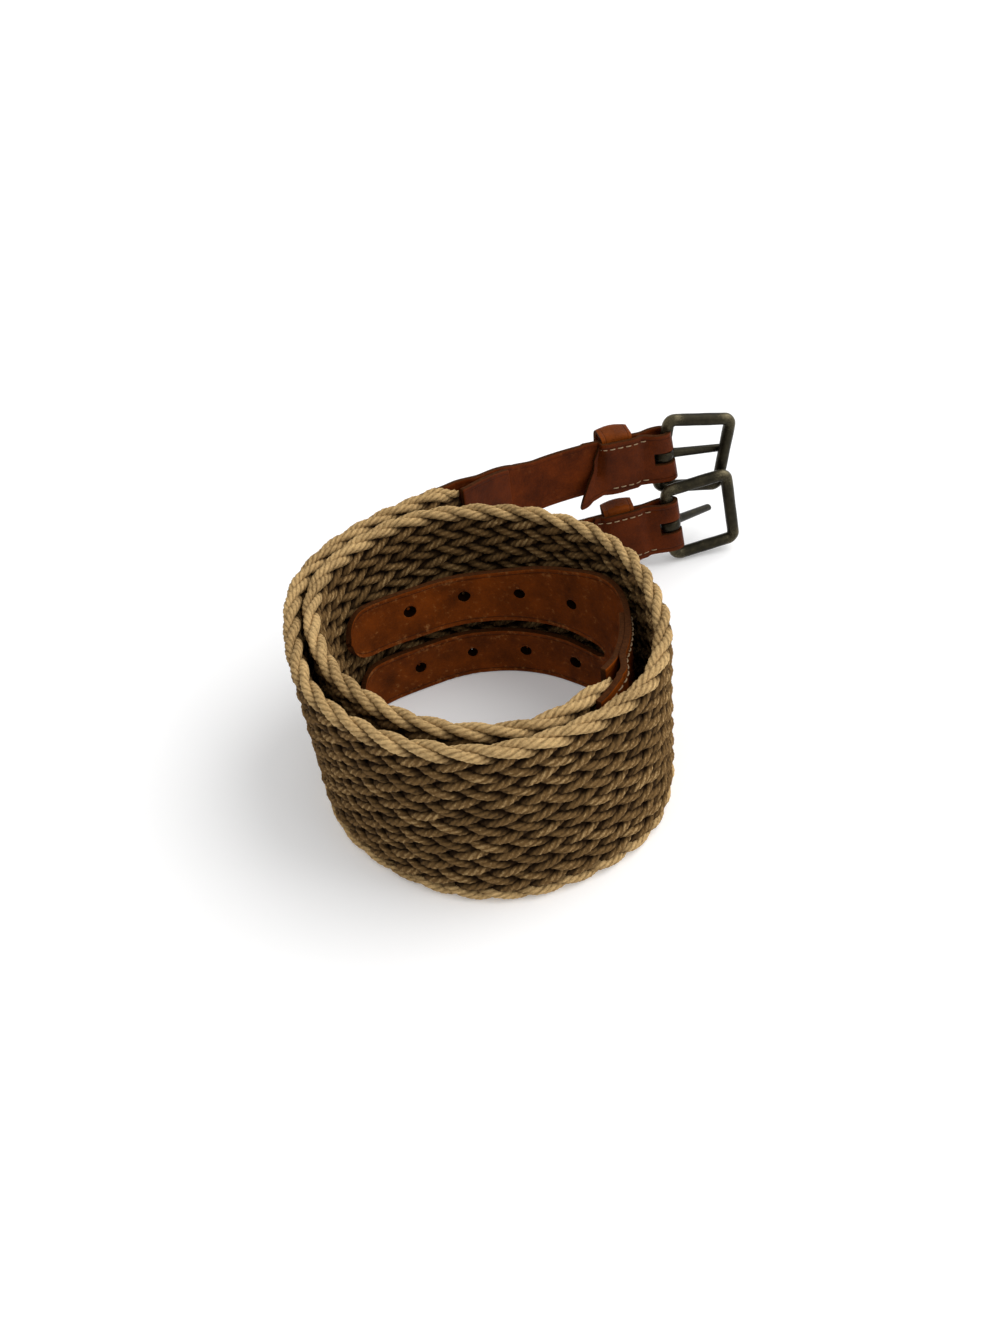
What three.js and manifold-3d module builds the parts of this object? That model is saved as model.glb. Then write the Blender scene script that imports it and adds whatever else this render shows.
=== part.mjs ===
// A wide braided belt, rolled up and standing on its edge, with leather ends and two small buckles.
// Millimetres, +Z up. The belt's width stands along Z, and it is rolled in the XY plane.
// The finished group stands on z = 0 with its bounding box centred on the origin.
// Words used below: along = distance along the belt, outward = away from the middle of the roll,
// high = distance up the belt's width.

import * as THREE from 'three';
import { mergeVertices } from 'three/addons/utils/BufferGeometryUtils.js';
import Module from 'manifold-3d';

const wasm = await Module();
wasm.setup();

// Driving dimensions of the braided band

const BAND_WIDTH = 75;
const BAND_THICKNESS = 7;
const RIM_HEIGHT = 3.4;
const RIB_DEPTH = 0.45;
const RIB_PITCH = 6.6;
const COIL_RADIUS = 70;
const LAYER_SLACK = 5.4;

// Driving dimensions of the leather

const LEATHER = 2.2;
const STRAP_LEATHER = 2;
const GAP = 0.3;
const YOKE_INSET = 1.6;
const LAP = 14;
const FLOOR_CLEARANCE = 0.2;
const TIP_END_RADIUS = 11.6;
const TIP_SLIT = 4.2;
const TIP_STANDOFF = 14;
const TIP_FACING_LENGTH = 44;
const HOLE_RADIUS = 2;
const HOLE_SPACING = 23.8;
const HOLE_COUNT = 4;
const LAST_HOLE_TO_TIP = 30;
const BUCKLE_YOKE_LENGTH = 32;
const BUCKLE_FACING_LENGTH = 27;
const BUCKLE_STRAP_RUN = 73;
const BUCKLE_STRAP_WIDTH = 25.2;
const FOLD_WIDTH = 24;
const TAB_LENGTH = 36;
const UPPER_STRAP_HEIGHT = 51.6;
const LOWER_STRAP_HEIGHT = 13.9;

// Driving dimensions of the keepers and buckles

const KEEPER_WIDTH = 14;
const KEEPER_LEATHER = 1.8;
const KEEPER_DEPTH = 6;
const KEEPER_TO_BAR = 23;
const FRAME_LENGTH = 30;
const FRAME_HEIGHT = 33.3;
const BAR_RADIUS = 2.8;
const CORNER_RADIUS = 3.1;
const BAR_CLEARANCE = 0.4;
const PRONG_RADIUS = 1.5;
const PRONG_LOOP_WIDTH = 4.6;
const PRONG_OVERHANG = 1;

// How the coil lies. reach is a share of COIL_RADIUS at an angle in degrees, anticlockwise from +X,
// that grows from the braid's outer end, beside the buckle straps, to its inner one.

const OUTER_TURN = [
  { angle: 90, reach: 1.323 }, { angle: 94, reach: 1.27 }, { angle: 98, reach: 1.229 },
  { angle: 103, reach: 1.193 }, { angle: 110, reach: 1.166 },
  { angle: 124, reach: 1.127 }, { angle: 142, reach: 1.081 }, { angle: 161, reach: 1.004 },
  { angle: 172, reach: 0.951 }, { angle: 187, reach: 0.918 }, { angle: 202, reach: 0.917 },
  { angle: 229, reach: 0.93 }, { angle: 252, reach: 0.976 }, { angle: 271, reach: 1.018 },
  { angle: 292, reach: 1.03 }, { angle: 313, reach: 1.05 }, { angle: 322, reach: 1.043 },
  { angle: 332, reach: 1.013 }, { angle: 342, reach: 0.989 }, { angle: 354, reach: 0.949 },
  { angle: 370, reach: 0.934 }, { angle: 386, reach: 0.937 }, { angle: 416, reach: 0.959 },
  { angle: 446, reach: 0.996 }, { angle: 458, reach: 1.03 },
];

// Free space between the inner turn and the turn outside it, as a share of LAYER_SLACK.

const INNER_TURN = [
  { angle: 458, slack: 1.05 }, { angle: 469, slack: 0.42 }, { angle: 480, slack: 0.26 },
  { angle: 493, slack: 0.16 }, { angle: 505, slack: 0.1 }, { angle: 530, slack: 0.14 },
  { angle: 543, slack: 0.25 }, { angle: 560, slack: 0.56 }, { angle: 577, slack: 0.75 },
  { angle: 604, slack: 0.72 }, { angle: 628, slack: 0.52 }, { angle: 646, slack: 0.11 },
  { angle: 656, slack: 0.31 }, { angle: 665, slack: 0.72 }, { angle: 677, slack: 1 },
];

// Where the tip straps stand inside the coil. lead is a share of the space at the braid's end and
// stand a share of TIP_STANDOFF: together they are the free space to the band outside the strap.

const TIP_ROUTE = [
  { angle: -43, lead: 1, stand: 0 }, { angle: -38, lead: 0.85, stand: 0.12 },
  { angle: -33, lead: 0.7, stand: 0.22 }, { angle: -25, lead: 0.45, stand: 0.36 },
  { angle: -15, lead: 0.2, stand: 0.4 }, { angle: -3, lead: 0, stand: 0.34 },
  { angle: 7, lead: 0, stand: 0.2 }, { angle: 16, lead: 0, stand: 0.1 },
  { angle: 24, lead: 0, stand: 0.11 }, { angle: 32, lead: 0, stand: 0.3 },
  { angle: 40, lead: 0, stand: 0.46 }, { angle: 53, lead: 0, stand: 0.56 },
  { angle: 63, lead: 0, stand: 0.66 }, { angle: 78, lead: 0, stand: 0.76 },
  { angle: 92, lead: 0, stand: 0.91 }, { angle: 107, lead: 0, stand: 1.03 },
  { angle: 117, lead: 0, stand: 0.9 }, { angle: 127, lead: 0, stand: 0.64 },
  { angle: 136, lead: 0, stand: 0.33 }, { angle: 142, lead: 0, stand: 0.14 },
  { angle: 147, lead: 0, stand: 0.05 },
];
const TIP_CROTCH_ANGLE = 25;

// Heights of the tip end's top edge, of the slit's middle and of the holes, as shares of BAND_WIDTH.

const TIP_EDGE = [
  { angle: -43, top: 0.96, slit: 0.3 }, { angle: -13, top: 0.88, slit: 0.3 },
  { angle: 0, top: 0.85, slit: 0.3 }, { angle: 12, top: 0.83, slit: 0.3 },
  { angle: 28, top: 0.825, slit: 0.31 }, { angle: 44, top: 0.785, slit: 0.34 },
  { angle: 60, top: 0.745, slit: 0.34 }, { angle: 75, top: 0.71, slit: 0.34 },
  { angle: 90, top: 0.7, slit: 0.34 },
];
const UPPER_HOLES = 0.565;
const LOWER_HOLES = 0.16;

// The buckle end runs on from the braid. part is a share of the stretch's length, and the other
// columns are degrees: heading in plan, rise above level and lean of the strap's top outward.

const BUCKLE_YOKE_ROUTE = [
  { part: 0, heading: 34, rise: 0, lean: 0 }, { part: 0.3, heading: 37, rise: 0, lean: 0 },
  { part: 0.6, heading: 38, rise: 0, lean: 0 }, { part: 1, heading: 31, rise: 0, lean: 0 },
];
const UPPER_STRAP_ROUTE = [
  { part: 0, heading: 31, rise: 0, lean: 0 }, { part: 0.14, heading: 23, rise: 1, lean: 0 },
  { part: 0.3, heading: 15, rise: 1.5, lean: 0 }, { part: 0.45, heading: 11, rise: 1.5, lean: 0 },
  { part: 0.58, heading: 10, rise: 0, lean: 1 }, { part: 0.62, heading: 10, rise: -1.5, lean: 1 },
];
const LOWER_STRAP_ROUTE = [
  { part: 0, heading: 31, rise: 0, lean: 0 }, { part: 0.14, heading: 16, rise: 1, lean: 2 },
  { part: 0.3, heading: 5, rise: 3, lean: 4 }, { part: 0.45, heading: 1.5, rise: 5, lean: 6 },
  { part: 0.58, heading: 1.5, rise: 6, lean: 8 }, { part: 0.62, heading: 1.5, rise: 6, lean: 8 },
];
const UPPER_FRAME_POSE = { skew: -9, swing: -3 };
const LOWER_FRAME_POSE = { skew: 0, swing: 6 };
const LOWER_PRONG_SWING = 36;
const LOWER_PRONG_DROOP = 14;

// How far the buckle yoke's edges lie inside its height. part is a share of its length, and top
// and bottom are shares of its height.

const BUCKLE_YOKE_EDGE = [
  { part: 0, top: 0.03, bottom: 0 }, { part: 0.35, top: 0.04, bottom: 0 },
  { part: 0.7, top: 0.06, bottom: -0.01 }, { part: 1.05, top: 0.1, bottom: -0.015 },
];

// Small helpers

const rad = THREE.MathUtils.degToRad;
const UP = new THREE.Vector3(0, 0, 1);

function lookUp(rows, key, at, column) {
  let next = rows.findIndex((row) => row[key] >= at);
  if (next === 0) return rows[0][column];
  if (next < 0) return rows[rows.length - 1][column];
  const a = rows[next - 1];
  const b = rows[next];
  const before = rows[next - 2] ?? a;
  const after = rows[next + 1] ?? b;
  const span = b[key] - a[key];
  const t = (at - a[key]) / span;
  const slopeA = (b[column] - before[column]) / Math.max(b[key] - before[key], span);
  const slopeB = (after[column] - a[column]) / Math.max(after[key] - a[key], span);
  const t2 = t * t;
  const t3 = t2 * t;
  return (2 * t3 - 3 * t2 + 1) * a[column] + (t3 - 2 * t2 + t) * span * slopeA
    + (3 * t2 - 2 * t3) * b[column] + (t3 - t2) * span * slopeB;
}

function range(from, to, count) {
  return Array.from({ length: count + 1 }, (_, i) => from + ((to - from) * i) / count);
}

// A closed solid through rings of points. Each ring has the same number of points, given
// anticlockwise when seen from the last ring.

function loft(rings, joined = false) {
  const size = rings[0].length;
  const positions = rings.flat().flatMap((p) => [p.x, p.y, p.z]);
  const index = [];
  const spans = joined ? rings.length : rings.length - 1;
  for (let i = 0; i < spans; i += 1) {
    const here = i * size;
    const there = ((i + 1) % rings.length) * size;
    for (let j = 0; j < size; j += 1) {
      const k = (j + 1) % size;
      index.push(here + j, here + k, there + k, here + j, there + k, there + j);
    }
  }
  if (!joined) {
    const last = (rings.length - 1) * size;
    for (let j = 1; j < size - 1; j += 1) {
      index.push(0, j + 1, j);
      index.push(last, last + j, last + j + 1);
    }
  }
  const geometry = new THREE.BufferGeometry();
  geometry.setAttribute('position', new THREE.Float32BufferAttribute(positions, 3));
  geometry.setIndex(index);
  return geometry;
}

function toSolid(geometry) {
  const bare = geometry.clone();
  bare.deleteAttribute('normal');
  bare.deleteAttribute('uv');
  const merged = mergeVertices(bare, 1e-4);
  return new wasm.Manifold(new wasm.Mesh({
    numProp: 3,
    vertProperties: new Float32Array(merged.attributes.position.array),
    triVerts: new Uint32Array(merged.index.array),
  }));
}

function toGeometry(solid) {
  const mesh = solid.getMesh();
  const geometry = new THREE.BufferGeometry();
  geometry.setAttribute('position', new THREE.Float32BufferAttribute(mesh.vertProperties, 3));
  geometry.setIndex(new THREE.Uint32BufferAttribute(mesh.triVerts, 1));
  return geometry;
}

// A place on the belt: its position, and unit vectors forward along the belt, up across its
// width and outward through its thickness.

function makePlace(position, heading, rise = 0, lean = 0) {
  const level = new THREE.Vector3(Math.cos(rad(heading)), Math.sin(rad(heading)), 0);
  const outwardLevel = new THREE.Vector3(-level.y, level.x, 0);
  const outward = outwardLevel.clone().multiplyScalar(Math.cos(rad(lean)))
    .addScaledVector(UP, -Math.sin(rad(lean)));
  const up = UP.clone().multiplyScalar(Math.cos(rad(lean)))
    .addScaledVector(outwardLevel, Math.sin(rad(lean)));
  const place = { position: position.clone(), forward: level, up, outward };
  return turned(place, 'outward', -rise);
}

function turned(place, about, degrees) {
  const turn = new THREE.Quaternion().setFromAxisAngle(place[about], rad(degrees));
  return {
    position: place.position.clone(),
    forward: place.forward.clone().applyQuaternion(turn),
    up: place.up.clone().applyQuaternion(turn),
    outward: place.outward.clone().applyQuaternion(turn),
  };
}

function pointAt(place, forward, outward, up) {
  return place.position.clone()
    .addScaledVector(place.forward, forward)
    .addScaledVector(place.outward, outward)
    .addScaledVector(place.up, up);
}

// The place's own axes as a matrix: x forward, y outward, z up.

function matrixOf(place) {
  return new THREE.Matrix4()
    .makeBasis(place.forward, place.outward, place.up)
    .setPosition(place.position);
}

// One cross-section of a leather sheet: a thin rectangle between two heights and two depths.

function sheetRing(place, inner, outer, low, high) {
  return [
    pointAt(place, 0, inner, low), pointAt(place, 0, outer, low),
    pointAt(place, 0, outer, high), pointAt(place, 0, inner, high),
  ];
}

// The coil

function coilRadius(angle) {
  const split = INNER_TURN[0].angle;
  if (angle <= split) return COIL_RADIUS * lookUp(OUTER_TURN, 'angle', angle, 'reach');
  return coilRadius(angle - 360) - BAND_THICKNESS
    - LAYER_SLACK * lookUp(INNER_TURN, 'angle', angle, 'slack');
}

function polar(angle, radius) {
  return new THREE.Vector3(radius * Math.cos(rad(angle)), radius * Math.sin(rad(angle)), 0);
}

const COIL_START = OUTER_TURN[0].angle;
const COIL_END = INNER_TURN[INNER_TURN.length - 1].angle;

// Heading is that of the belt from the tip towards the buckles, which is clockwise in plan.

function coilPlace(angle) {
  const ahead = polar(angle - 0.5, coilRadius(Math.max(angle - 0.5, COIL_START)));
  const behind = polar(angle + 0.5, coilRadius(Math.min(angle + 0.5, COIL_END)));
  const run = ahead.sub(behind);
  return makePlace(polar(angle, coilRadius(angle)), THREE.MathUtils.radToDeg(Math.atan2(run.y, run.x)));
}

// The braid's rope-like rims are as thick as the band, and rows of crossings rib its faces.

function bandSection(place, row) {
  const half = BAND_THICKNESS / 2;
  const rim = [
    { out: 0.46, rise: 0 }, { out: 0.88, rise: 0.3 }, { out: 1, rise: 0.95 }, { out: 0.86, rise: 1.9 },
  ];
  const levels = [
    ...rim.map((r) => ({ out: half * r.out, up: RIM_HEIGHT * r.rise })),
    ...[0.27, 0.42, 0.58, 0.73].map((share, i) => ({
      out: half - (((i + row) % 2) ? RIB_DEPTH : 0),
      up: BAND_WIDTH * share,
    })),
    ...rim.map((r) => ({ out: half * r.out, up: BAND_WIDTH - RIM_HEIGHT * r.rise })).reverse(),
  ];
  const outerSide = levels.map((l) => pointAt(place, 0, l.out, l.up));
  const innerSide = levels.map((l) => pointAt(place, 0, -l.out, l.up)).reverse();
  return [...outerSide, ...innerSide];
}

function bandGeometry() {
  const length = range(COIL_START, COIL_END, 200).slice(1)
    .reduce((sum, a) => sum + rad((COIL_END - COIL_START) / 200) * coilRadius(a), 0);
  const count = Math.round(length / RIB_PITCH);
  return loft(range(COIL_END, COIL_START, count).map((a, i) => bandSection(coilPlace(a), i)));
}

// Leather end pieces

const YOKE_TOP = BAND_WIDTH - YOKE_INSET;
const YOKE_HEIGHT = BAND_WIDTH - 2 * YOKE_INSET;
const LAP_OFFSET = BAND_THICKNESS / 2 + GAP + LEATHER / 2;
const CONVERGE = LAP;

// Outward offset of a leather layer's middle from the belt's line, at a distance past the braid's
// end. The two layers clasp the braid, then close until the facing lies on the main layer, which
// runs on along the line.

function closing(past) {
  return THREE.MathUtils.smoothstep(past, 1, CONVERGE);
}

function mainOffset(past) {
  return THREE.MathUtils.lerp(LAP_OFFSET, 0, closing(past));
}

function facingOffset(past) {
  return THREE.MathUtils.lerp(-LAP_OFFSET, -(LEATHER + GAP), closing(past));
}

// The tip end: the straps' middle line, with the distance that each place lies past the braid.

const TIP_START = TIP_ROUTE[0].angle;
const TIP_END = TIP_ROUTE[TIP_ROUTE.length - 1].angle;

function tipRadius(angle) {
  const endSpace = coilRadius(TIP_START + 360) - BAND_THICKNESS / 2
    - coilRadius(COIL_END) - LEATHER / 2;
  const free = endSpace * lookUp(TIP_ROUTE, 'angle', angle, 'lead')
    + TIP_STANDOFF * lookUp(TIP_ROUTE, 'angle', angle, 'stand');
  return coilRadius(angle + 360) - BAND_THICKNESS / 2 - LEATHER / 2 - free;
}

function tipPlace(angle) {
  const a = polar(angle - 0.5, tipRadius(angle - 0.5));
  const b = polar(angle + 0.5, tipRadius(angle + 0.5));
  const run = a.sub(b);
  return makePlace(polar(angle, tipRadius(angle)), THREE.MathUtils.radToDeg(Math.atan2(run.y, run.x)));
}

function tipRoute() {
  const steps = range(TIP_START, TIP_END, 94).map((angle) => ({ angle, place: tipPlace(angle) }));
  let past = 0;
  steps.forEach((step, i) => {
    if (i) past += step.place.position.distanceTo(steps[i - 1].place.position);
    step.past = past;
  });
  return steps;
}

function lapPlaces(count) {
  const degrees = THREE.MathUtils.radToDeg(LAP / coilRadius(COIL_END));
  return range(COIL_END - degrees, COIL_END, count).map((angle, i) => ({
    place: coilPlace(angle),
    past: -LAP + (LAP * i) / count,
  }));
}

const tipSteps = tipRoute();
const tipLength = tipSteps[tipSteps.length - 1].past;
const crotchPast = tipSteps.find((s) => s.angle >= TIP_CROTCH_ANGLE).past;

function tipAngleAt(past) {
  const i = Math.max(1, tipSteps.findIndex((s) => s.past >= past));
  const a = tipSteps[i - 1];
  const b = tipSteps[i];
  return THREE.MathUtils.lerp(a.angle, b.angle, (past - a.past) / (b.past - a.past));
}

function tipStepAt(past) {
  return tipPlace(tipAngleAt(past));
}

// Half-height lost near a strap's round end, at a distance back from the end.

function endTrim(back) {
  const radius = TIP_END_RADIUS;
  if (back >= radius) return 0;
  return radius - Math.max(Math.sqrt(radius ** 2 - (radius - back) ** 2), radius * 0.16);
}

function tipEdges(past) {
  const trim = endTrim(tipLength - past);
  const angle = past > 0 ? tipAngleAt(past) : TIP_START;
  const slit = BAND_WIDTH * lookUp(TIP_EDGE, 'angle', angle, 'slit');
  const settle = THREE.MathUtils.smoothstep(past, 0, crotchPast);
  return {
    low: THREE.MathUtils.lerp(YOKE_INSET, FLOOR_CLEARANCE, settle) + trim,
    high: BAND_WIDTH * lookUp(TIP_EDGE, 'angle', angle, 'top') - trim,
    slitLow: slit - TIP_SLIT / 2 - trim,
    slitHigh: slit + TIP_SLIT / 2 + trim,
  };
}

function tipPasts() {
  const body = range(LAP * 0.3, tipLength - TIP_END_RADIUS, Math.round(tipLength / 8));
  const tip = [0.62, 0.34, 0.14, 0.03, 0].map((share) => tipLength - TIP_END_RADIUS * share);
  return [0, ...body, ...tip];
}

function punch(place, up) {
  const pin = new THREE.CylinderGeometry(HOLE_RADIUS, HOLE_RADIUS, 6 * LEATHER, 8);
  pin.applyMatrix4(matrixOf({ ...place, position: pointAt(place, 0, 0, up) }));
  return toSolid(pin);
}

function tipLeatherGeometry() {
  const half = LEATHER / 2;
  const ring = (place, past) => {
    const offset = mainOffset(past);
    const { low, high } = tipEdges(past);
    return sheetRing(place, offset - half, offset + half, low, high);
  };
  const rings = [
    ...lapPlaces(2).slice(0, -1).map((s) => ring(s.place, s.past)),
    ...tipPasts().map((past) => ring(tipStepAt(past), past)),
  ];
  let leather = toSolid(loft(rings.reverse()));
  const slitRing = (place, past) => {
    const { slitLow, slitHigh } = tipEdges(past);
    return sheetRing(place, -2 * LEATHER, 2 * LEATHER, slitLow, slitHigh);
  };
  const beyond = tipStepAt(tipLength);
  beyond.position = pointAt(beyond, -2, 0, 0);
  const slit = [
    ...tipPasts().filter((past) => past > crotchPast).map((past) => slitRing(tipStepAt(past), past)),
    slitRing(beyond, tipLength),
  ];
  leather = leather.subtract(toSolid(loft(slit.reverse())));
  for (let i = 0; i < HOLE_COUNT; i += 1) {
    const place = tipStepAt(tipLength - LAST_HOLE_TO_TIP - i * HOLE_SPACING);
    leather = leather.subtract(punch(place, BAND_WIDTH * UPPER_HOLES));
    leather = leather.subtract(punch(place, BAND_WIDTH * LOWER_HOLES));
  }
  return toGeometry(leather);
}

function tipFacingGeometry() {
  const half = LEATHER / 2;
  const ring = (place, past) => {
    const offset = facingOffset(past);
    const { low, high } = tipEdges(past);
    return sheetRing(place, offset - half, offset + half, low + GAP, high - GAP);
  };
  const stations = range(GAP, TIP_FACING_LENGTH, 8);
  return loft(stations.map((past) => ring(tipStepAt(past), past)).reverse());
}

// The buckle end

function walk(rows, length, start, height) {
  const count = Math.ceil(length / 2);
  const step = length / count;
  const position = start.clone().setZ(height);
  const places = [];
  for (let i = 0; i <= count; i += 1) {
    const part = i / count;
    const turn = (column) => lookUp(rows, 'part', part, column);
    const place = makePlace(position, turn('heading'), turn('rise'), turn('lean'));
    places.push({ place, past: i * step });
    position.addScaledVector(place.forward, step);
  }
  return places;
}

const braidEnd = coilPlace(COIL_START);
const yokeSteps = walk(BUCKLE_YOKE_ROUTE, BUCKLE_YOKE_LENGTH, braidEnd.position, 0);
const yokeEnd = yokeSteps[yokeSteps.length - 1].place;

function yokeEdges(past) {
  const part = past / BUCKLE_YOKE_LENGTH;
  return {
    low: YOKE_INSET + YOKE_HEIGHT * lookUp(BUCKLE_YOKE_EDGE, 'part', part, 'bottom'),
    high: YOKE_TOP - YOKE_HEIGHT * lookUp(BUCKLE_YOKE_EDGE, 'part', part, 'top'),
  };
}

function outerLapPlaces(count) {
  const degrees = THREE.MathUtils.radToDeg(LAP / coilRadius(COIL_START));
  return range(COIL_START + degrees, COIL_START, count).map((angle, i) => ({
    place: coilPlace(angle),
    past: -LAP + (LAP * i) / count,
  }));
}

function yokeGeometry(offsetOf, length, inset) {
  const half = LEATHER / 2;
  const steps = [
    ...outerLapPlaces(2).slice(0, -1),
    ...yokeSteps.filter((s, i) => s.past <= length && i % 2 === 0),
  ];
  return loft(steps.map(({ place, past }) => {
    const offset = offsetOf(past);
    const { low, high } = yokeEdges(past);
    return sheetRing(place, offset - half, offset + half, low + inset, high - inset);
  }));
}

// A buckle strap runs from the yoke to its fold. Its two faces, from the bar's middle backward:
// single leather, then the tab stitched on its inner face, raised over the keeper, then both
// layers parting round the bar. The bar sits in the middle of the fold.

const FOLD_CENTRE = -(STRAP_LEATHER + GAP) / 2;
const POCKET_HALF = BAR_RADIUS + BAR_CLEARANCE;
const FOLD_HALF = POCKET_HALF + STRAP_LEATHER;
const KEEPER_ROOM = KEEPER_LEATHER + 2 * GAP;
const SINGLE_FACE = STRAP_LEATHER / 2;
const TAB_FACE = SINGLE_FACE + GAP / 2 + STRAP_LEATHER;

function pocketReach(pose) {
  return Math.tan(rad(Math.abs(pose.skew))) * (FOLD_WIDTH / 2);
}

function foldFaces(pose) {
  const keeperFace = TAB_FACE + KEEPER_ROOM;
  const keeperNear = KEEPER_TO_BAR - KEEPER_WIDTH / 2;
  const keeperFar = KEEPER_TO_BAR + KEEPER_WIDTH / 2;
  const reach = pocketReach(pose);
  const fold = (half) => ({ inner: FOLD_CENTRE - half, outer: FOLD_CENTRE + half });
  return [
    { at: -TAB_LENGTH - 1, inner: -SINGLE_FACE, outer: SINGLE_FACE },
    { at: -TAB_LENGTH, inner: -TAB_FACE, outer: SINGLE_FACE },
    { at: -keeperFar - 2, inner: -TAB_FACE - GAP, outer: SINGLE_FACE },
    { at: -keeperFar, inner: -keeperFace, outer: SINGLE_FACE },
    { at: -keeperNear, inner: -keeperFace, outer: SINGLE_FACE },
    { at: -keeperNear + 2.5, inner: -TAB_FACE - GAP, outer: SINGLE_FACE },
    { at: -reach - POCKET_HALF - 2, ...fold(FOLD_HALF - 1.2) },
    { at: -reach - 1, ...fold(FOLD_HALF) },
    { at: reach + 1, ...fold(FOLD_HALF) },
    { at: reach + FOLD_HALF * 0.62, ...fold(FOLD_HALF * 0.78) },
    { at: reach + FOLD_HALF * 0.92, ...fold(FOLD_HALF * 0.4) },
  ];
}

function strapWidth(toBar) {
  const narrow = THREE.MathUtils.smoothstep(toBar, -KEEPER_TO_BAR + KEEPER_WIDTH / 2, 0);
  return THREE.MathUtils.lerp(BUCKLE_STRAP_WIDTH, FOLD_WIDTH, narrow);
}

function prism(place, from, to, inner, outer, low, high) {
  return toSolid(loft([from, to].map((forward) => sheetRing(
    { ...place, position: pointAt(place, forward, 0, 0) }, inner, outer, low, high,
  ))));
}

const SLOT_HALF = PRONG_LOOP_WIDTH / 2 + 2.5 * GAP;
const SLOT_LENGTH = BAR_RADIUS * 3.4;

function foldCuts(bar, pose) {
  const tall = BUCKLE_STRAP_WIDTH;
  const reach = pocketReach(pose);
  const centre = { ...bar, position: pointAt(bar, 0, FOLD_CENTRE, 0) };
  const outline = new THREE.Shape();
  outline.absarc(reach, 0, POCKET_HALF, -Math.PI / 2, Math.PI / 2);
  outline.absarc(-reach, 0, POCKET_HALF, Math.PI / 2, Math.PI * 1.5);
  const pocket = new THREE.ExtrudeGeometry(outline, { depth: 2 * tall, bevelEnabled: false, curveSegments: 8 });
  pocket.translate(0, 0, -tall);
  pocket.applyMatrix4(matrixOf(centre));
  const keeperRun = prism(
    bar, -KEEPER_TO_BAR - KEEPER_WIDTH / 2 - GAP, -KEEPER_TO_BAR + KEEPER_WIDTH / 2 + GAP,
    -SINGLE_FACE - KEEPER_ROOM, -SINGLE_FACE, -tall, tall,
  );
  const slot = prism(
    centre, -SLOT_LENGTH, reach + 2 * FOLD_HALF, -2 * FOLD_HALF, 2 * FOLD_HALF, -SLOT_HALF, SLOT_HALF,
  );
  return [toSolid(pocket), keeperRun, slot];
}

function buckleStrap(rows, height, pose) {
  const steps = walk(rows, BUCKLE_STRAP_RUN, yokeEnd.position, height);
  const bar = steps[steps.length - 1].place;
  const ring = (place, inner, outer, width) => sheetRing(place, inner, outer, -width / 2, width / 2);
  const plain = steps
    .filter((s, i) => i % 2 === 0 && s.past < BUCKLE_STRAP_RUN - TAB_LENGTH - 2)
    .map((s) => ring(s.place, -SINGLE_FACE, SINGLE_FACE, BUCKLE_STRAP_WIDTH));
  const sunk = { ...yokeEnd, position: pointAt(yokeEnd, -2, 0, height) };
  const folded = foldFaces(pose).map((f) => ring(
    { ...bar, position: pointAt(bar, f.at, 0, 0) }, f.inner, f.outer, strapWidth(f.at),
  ));
  const start = ring(sunk, -SINGLE_FACE, SINGLE_FACE, BUCKLE_STRAP_WIDTH);
  const solid = foldCuts(bar, pose).reduce(
    (body, cut) => body.subtract(cut), toSolid(loft([start, ...plain, ...folded])),
  );
  return { solid, bar, hinge: { ...bar, position: pointAt(bar, 0, FOLD_CENTRE, 0) } };
}

const upperStrap = buckleStrap(UPPER_STRAP_ROUTE, UPPER_STRAP_HEIGHT, UPPER_FRAME_POSE);
const lowerStrap = buckleStrap(LOWER_STRAP_ROUTE, LOWER_STRAP_HEIGHT, LOWER_FRAME_POSE);

function buckleLeatherGeometry() {
  const yoke = toSolid(yokeGeometry(mainOffset, BUCKLE_YOKE_LENGTH, 0));
  return toGeometry(yoke.add(upperStrap.solid).add(lowerStrap.solid));
}

// A keeper is a flat leather loop: it passes between strap and tab and stands off the outer face.

function keeperGeometry(bar) {
  const high = BUCKLE_STRAP_WIDTH / 2 + GAP;
  const inner = -SINGLE_FACE - GAP;
  const outer = SINGLE_FACE + KEEPER_DEPTH;
  const t = KEEPER_LEATHER;
  const outline = new THREE.Shape();
  outline.moveTo(inner - t, -high - t);
  outline.lineTo(outer - t, -high - t);
  outline.quadraticCurveTo(outer + t, -high - t, outer + t, -high + 1.5 * t);
  outline.lineTo(outer + t, high - 1.5 * t);
  outline.quadraticCurveTo(outer + t, high + t, outer - t, high + t);
  outline.lineTo(inner - t, high + t);
  outline.closePath();
  const hole = new THREE.Path();
  hole.moveTo(inner, -high);
  hole.lineTo(inner, high);
  hole.lineTo(outer - t, high);
  hole.quadraticCurveTo(outer, high, outer, high - 1.5 * t);
  hole.lineTo(outer, -high + 1.5 * t);
  hole.quadraticCurveTo(outer, -high, outer - t, -high);
  hole.closePath();
  outline.holes.push(hole);
  const loop = new THREE.ExtrudeGeometry(outline, { depth: KEEPER_WIDTH, bevelEnabled: false, curveSegments: 4 });
  loop.translate(0, 0, -KEEPER_TO_BAR - KEEPER_WIDTH / 2);
  const axes = new THREE.Matrix4().makeBasis(bar.outward, bar.up, bar.forward).setPosition(bar.position);
  return loop.applyMatrix4(axes);
}

// Buckles: a rectangular loop of round bar, hinged in the fold, and a prong looped round its bar.

function framePlace(hinge, pose) {
  return turned(turned(hinge, 'outward', -pose.skew), 'up', pose.swing);
}

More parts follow.
